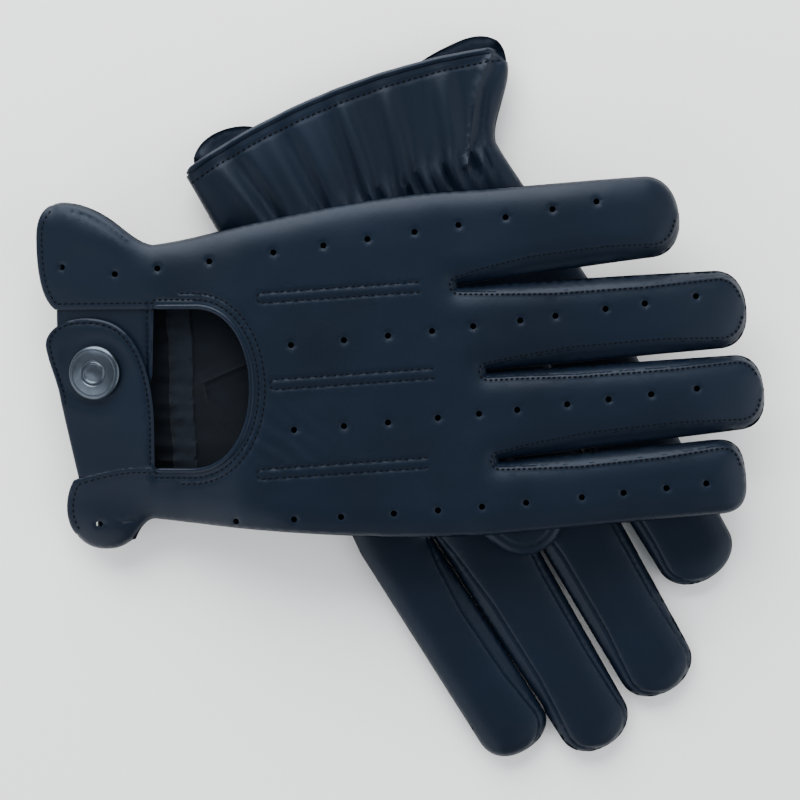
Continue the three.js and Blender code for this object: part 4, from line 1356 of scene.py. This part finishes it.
class GloveStage(bpy.types.PropertyGroup):
    """Camera, floor and lamps."""
    camera_height: bpy.props.FloatProperty(
        name="Camera height", description="Above the upper glove's back", default=0.8, unit="LENGTH")
    view_width: bpy.props.FloatProperty(
        name="View width", description="Width seen at the upper glove's back", default=0.272, unit="LENGTH")
    floor_size: bpy.props.FloatProperty(
        name="Floor size", description="Side of the floor", default=4.0, unit="LENGTH")
    floor_colour: bpy.props.FloatVectorProperty(
        name="Floor colour", description="Plain pale floor", subtype="COLOR", size=3, min=0, max=1,
        default=(0.86, 0.86, 0.86))
    key_power: bpy.props.FloatProperty(
        name="Key power", description="Main soft lamp", default=125.0, unit="POWER")
    fill_power: bpy.props.FloatProperty(
        name="Fill power", description="Each of the two weaker lamps", default=36.0, unit="POWER")
    sky_strength: bpy.props.FloatProperty(
        name="Sky strength", description="Even light all round", default=0.6)
    sky_colour: bpy.props.FloatVectorProperty(
        name="Sky colour", description="Even light all round", subtype="COLOR", size=3, min=0, max=1,
        default=(0.88, 0.94, 1.0))


class PieceOperator:
    """Builds one kind of piece for both gloves."""
    bl_options = {"REGISTER", "UNDO"}

    def execute(self, context):
        for glove in GLOVES.values():
            self.build(glove)
        return {"FINISHED"}


class GLOVES_OT_finishes(bpy.types.Operator):
    """Makes the leather, suede, elastic, thread and snap finishes"""
    bl_idname = "gloves.finishes"
    bl_label = "Make finishes"

    def execute(self, context):
        MATERIALS.update(make_materials(context.scene.glove_colours))
        return {"FINISHED"}


class GLOVES_OT_leather(PieceOperator, bpy.types.Operator):
    """Builds the back, the palm and the side strips between the fingers"""
    bl_idname = "gloves.leather"
    bl_label = "Back, palm and side strips"
    build = staticmethod(build_leather)


class GLOVES_OT_thumb(PieceOperator, bpy.types.Operator):
    """Builds the thumb"""
    bl_idname = "gloves.thumb"
    bl_label = "Thumb"
    build = staticmethod(build_thumb)


class GLOVES_OT_strap(PieceOperator, bpy.types.Operator):
    """Builds the wrist strap and its suede lining"""
    bl_idname = "gloves.strap"
    bl_label = "Wrist strap"
    build = staticmethod(build_strap)


class GLOVES_OT_underlap(PieceOperator, bpy.types.Operator):
    """Builds the tab under the strap"""
    bl_idname = "gloves.underlap"
    bl_label = "Underlap"
    build = staticmethod(build_underlap)


class GLOVES_OT_binding(PieceOperator, bpy.types.Operator):
    """Builds the keyhole's rolled edge"""
    bl_idname = "gloves.binding"
    bl_label = "Keyhole binding"
    build = staticmethod(build_binding)


class GLOVES_OT_hem(PieceOperator, bpy.types.Operator):
    """Builds the cuff's rolled hem"""
    bl_idname = "gloves.hem"
    bl_label = "Cuff hem"
    build = staticmethod(build_hem)


class GLOVES_OT_elastic(PieceOperator, bpy.types.Operator):
    """Builds the wrist elastic"""
    bl_idname = "gloves.elastic"
    bl_label = "Wrist elastic"
    build = staticmethod(build_elastic)


class GLOVES_OT_snap(PieceOperator, bpy.types.Operator):
    """Builds the snap's cap, socket, stud and post"""
    bl_idname = "gloves.snap"
    bl_label = "Snap"
    build = staticmethod(build_snap)


class GLOVES_OT_points(PieceOperator, bpy.types.Operator):
    """Builds the three double rows on the back of the hand"""
    bl_idname = "gloves.points"
    bl_label = "Point stitching"
    build = staticmethod(build_points)


class GLOVES_OT_seams(PieceOperator, bpy.types.Operator):
    """Builds the seam and edge stitching"""
    bl_idname = "gloves.seams"
    bl_label = "Seam stitching"
    build = staticmethod(build_seams)


FLOOR_GAP = 0.0002
CAMERA_OVER = (-0.0002, 0.0003)


class GLOVES_OT_stage(bpy.types.Operator):
    """Lays the floor, hangs the lamps and sets the camera straight above"""
    bl_idname = "gloves.stage"
    bl_label = "Stage"

    def execute(self, context):
        stage = context.scene.glove_stage
        bpy.ops.object.select_all(action="DESELECT")
        bpy.ops.mesh.primitive_plane_add(size=stage.floor_size, location=(0, 0, -FLOOR_GAP))
        floor = context.active_object
        floor.name = "floor"
        material, _, shader = new_material("Pale floor")
        shader.inputs["Base Color"].default_value = (*stage.floor_colour, 1)
        shader.inputs["Roughness"].default_value = 0.9
        floor.data.materials.append(material)
        back_top = (STACK_HEIGHT + GLOVE_DEPTH) * MM
        camera = bpy.data.cameras.new("camera")
        camera.lens = camera.sensor_width * stage.camera_height / stage.view_width
        seen = bpy.data.objects.new("camera", camera)
        seen.location = (*CAMERA_OVER, back_top + stage.camera_height)
        context.scene.collection.objects.link(seen)
        context.scene.camera = seen
        for name, place, size, power in (
                ("key lamp", (-0.4, 1.5, 0.8), 2.0, stage.key_power),
                ("fill lamp", (1.6, -0.4, 0.8), 2.2, stage.fill_power),
                ("back lamp", (-1.3, -1.3, 0.8), 2.2, stage.fill_power)):
            lamp = bpy.data.lights.new(name, "AREA")
            lamp.size, lamp.energy = size, power
            hung = bpy.data.objects.new(name, lamp)
            hung.location = place
            hung.rotation_euler = (-Vector(place)).to_track_quat("-Z", "Y").to_euler()
            context.scene.collection.objects.link(hung)
        world = bpy.data.worlds.new("studio")
        world.use_nodes = True
        sky = world.node_tree.nodes["Background"]
        sky.inputs["Color"].default_value = (*stage.sky_colour, 1)
        sky.inputs["Strength"].default_value = stage.sky_strength
        context.scene.world = world
        return {"FINISHED"}


OPERATORS = [GLOVES_OT_finishes, GLOVES_OT_leather, GLOVES_OT_thumb, GLOVES_OT_strap, GLOVES_OT_underlap,
             GLOVES_OT_binding, GLOVES_OT_hem, GLOVES_OT_elastic, GLOVES_OT_snap, GLOVES_OT_points,
             GLOVES_OT_seams, GLOVES_OT_stage]


class GLOVES_PT_panel(bpy.types.Panel):
    bl_label = "Driving gloves"
    bl_idname = "GLOVES_PT_panel"
    bl_space_type = "VIEW_3D"
    bl_region_type = "UI"
    bl_category = "Gloves"

    def draw(self, context):
        for group in (context.scene.glove_colours, context.scene.glove_stage):
            for name in group.__annotations__:
                self.layout.prop(group, name)
        for operator in OPERATORS:
            self.layout.operator(operator.bl_idname)


CLASSES = [GloveColours, GloveStage, *OPERATORS, GLOVES_PT_panel]


def register():
    for one in CLASSES:
        bpy.utils.register_class(one)
    bpy.types.Scene.glove_colours = bpy.props.PointerProperty(type=GloveColours)
    bpy.types.Scene.glove_stage = bpy.props.PointerProperty(type=GloveStage)


def unregister():
    del bpy.types.Scene.glove_colours
    del bpy.types.Scene.glove_stage
    for one in reversed(CLASSES):
        bpy.utils.unregister_class(one)


def main():
    register()
    for operator in OPERATORS:
        group, name = operator.bl_idname.split(".")
        getattr(getattr(bpy.ops, group), name)()


if __name__ == "__main__":
    main()
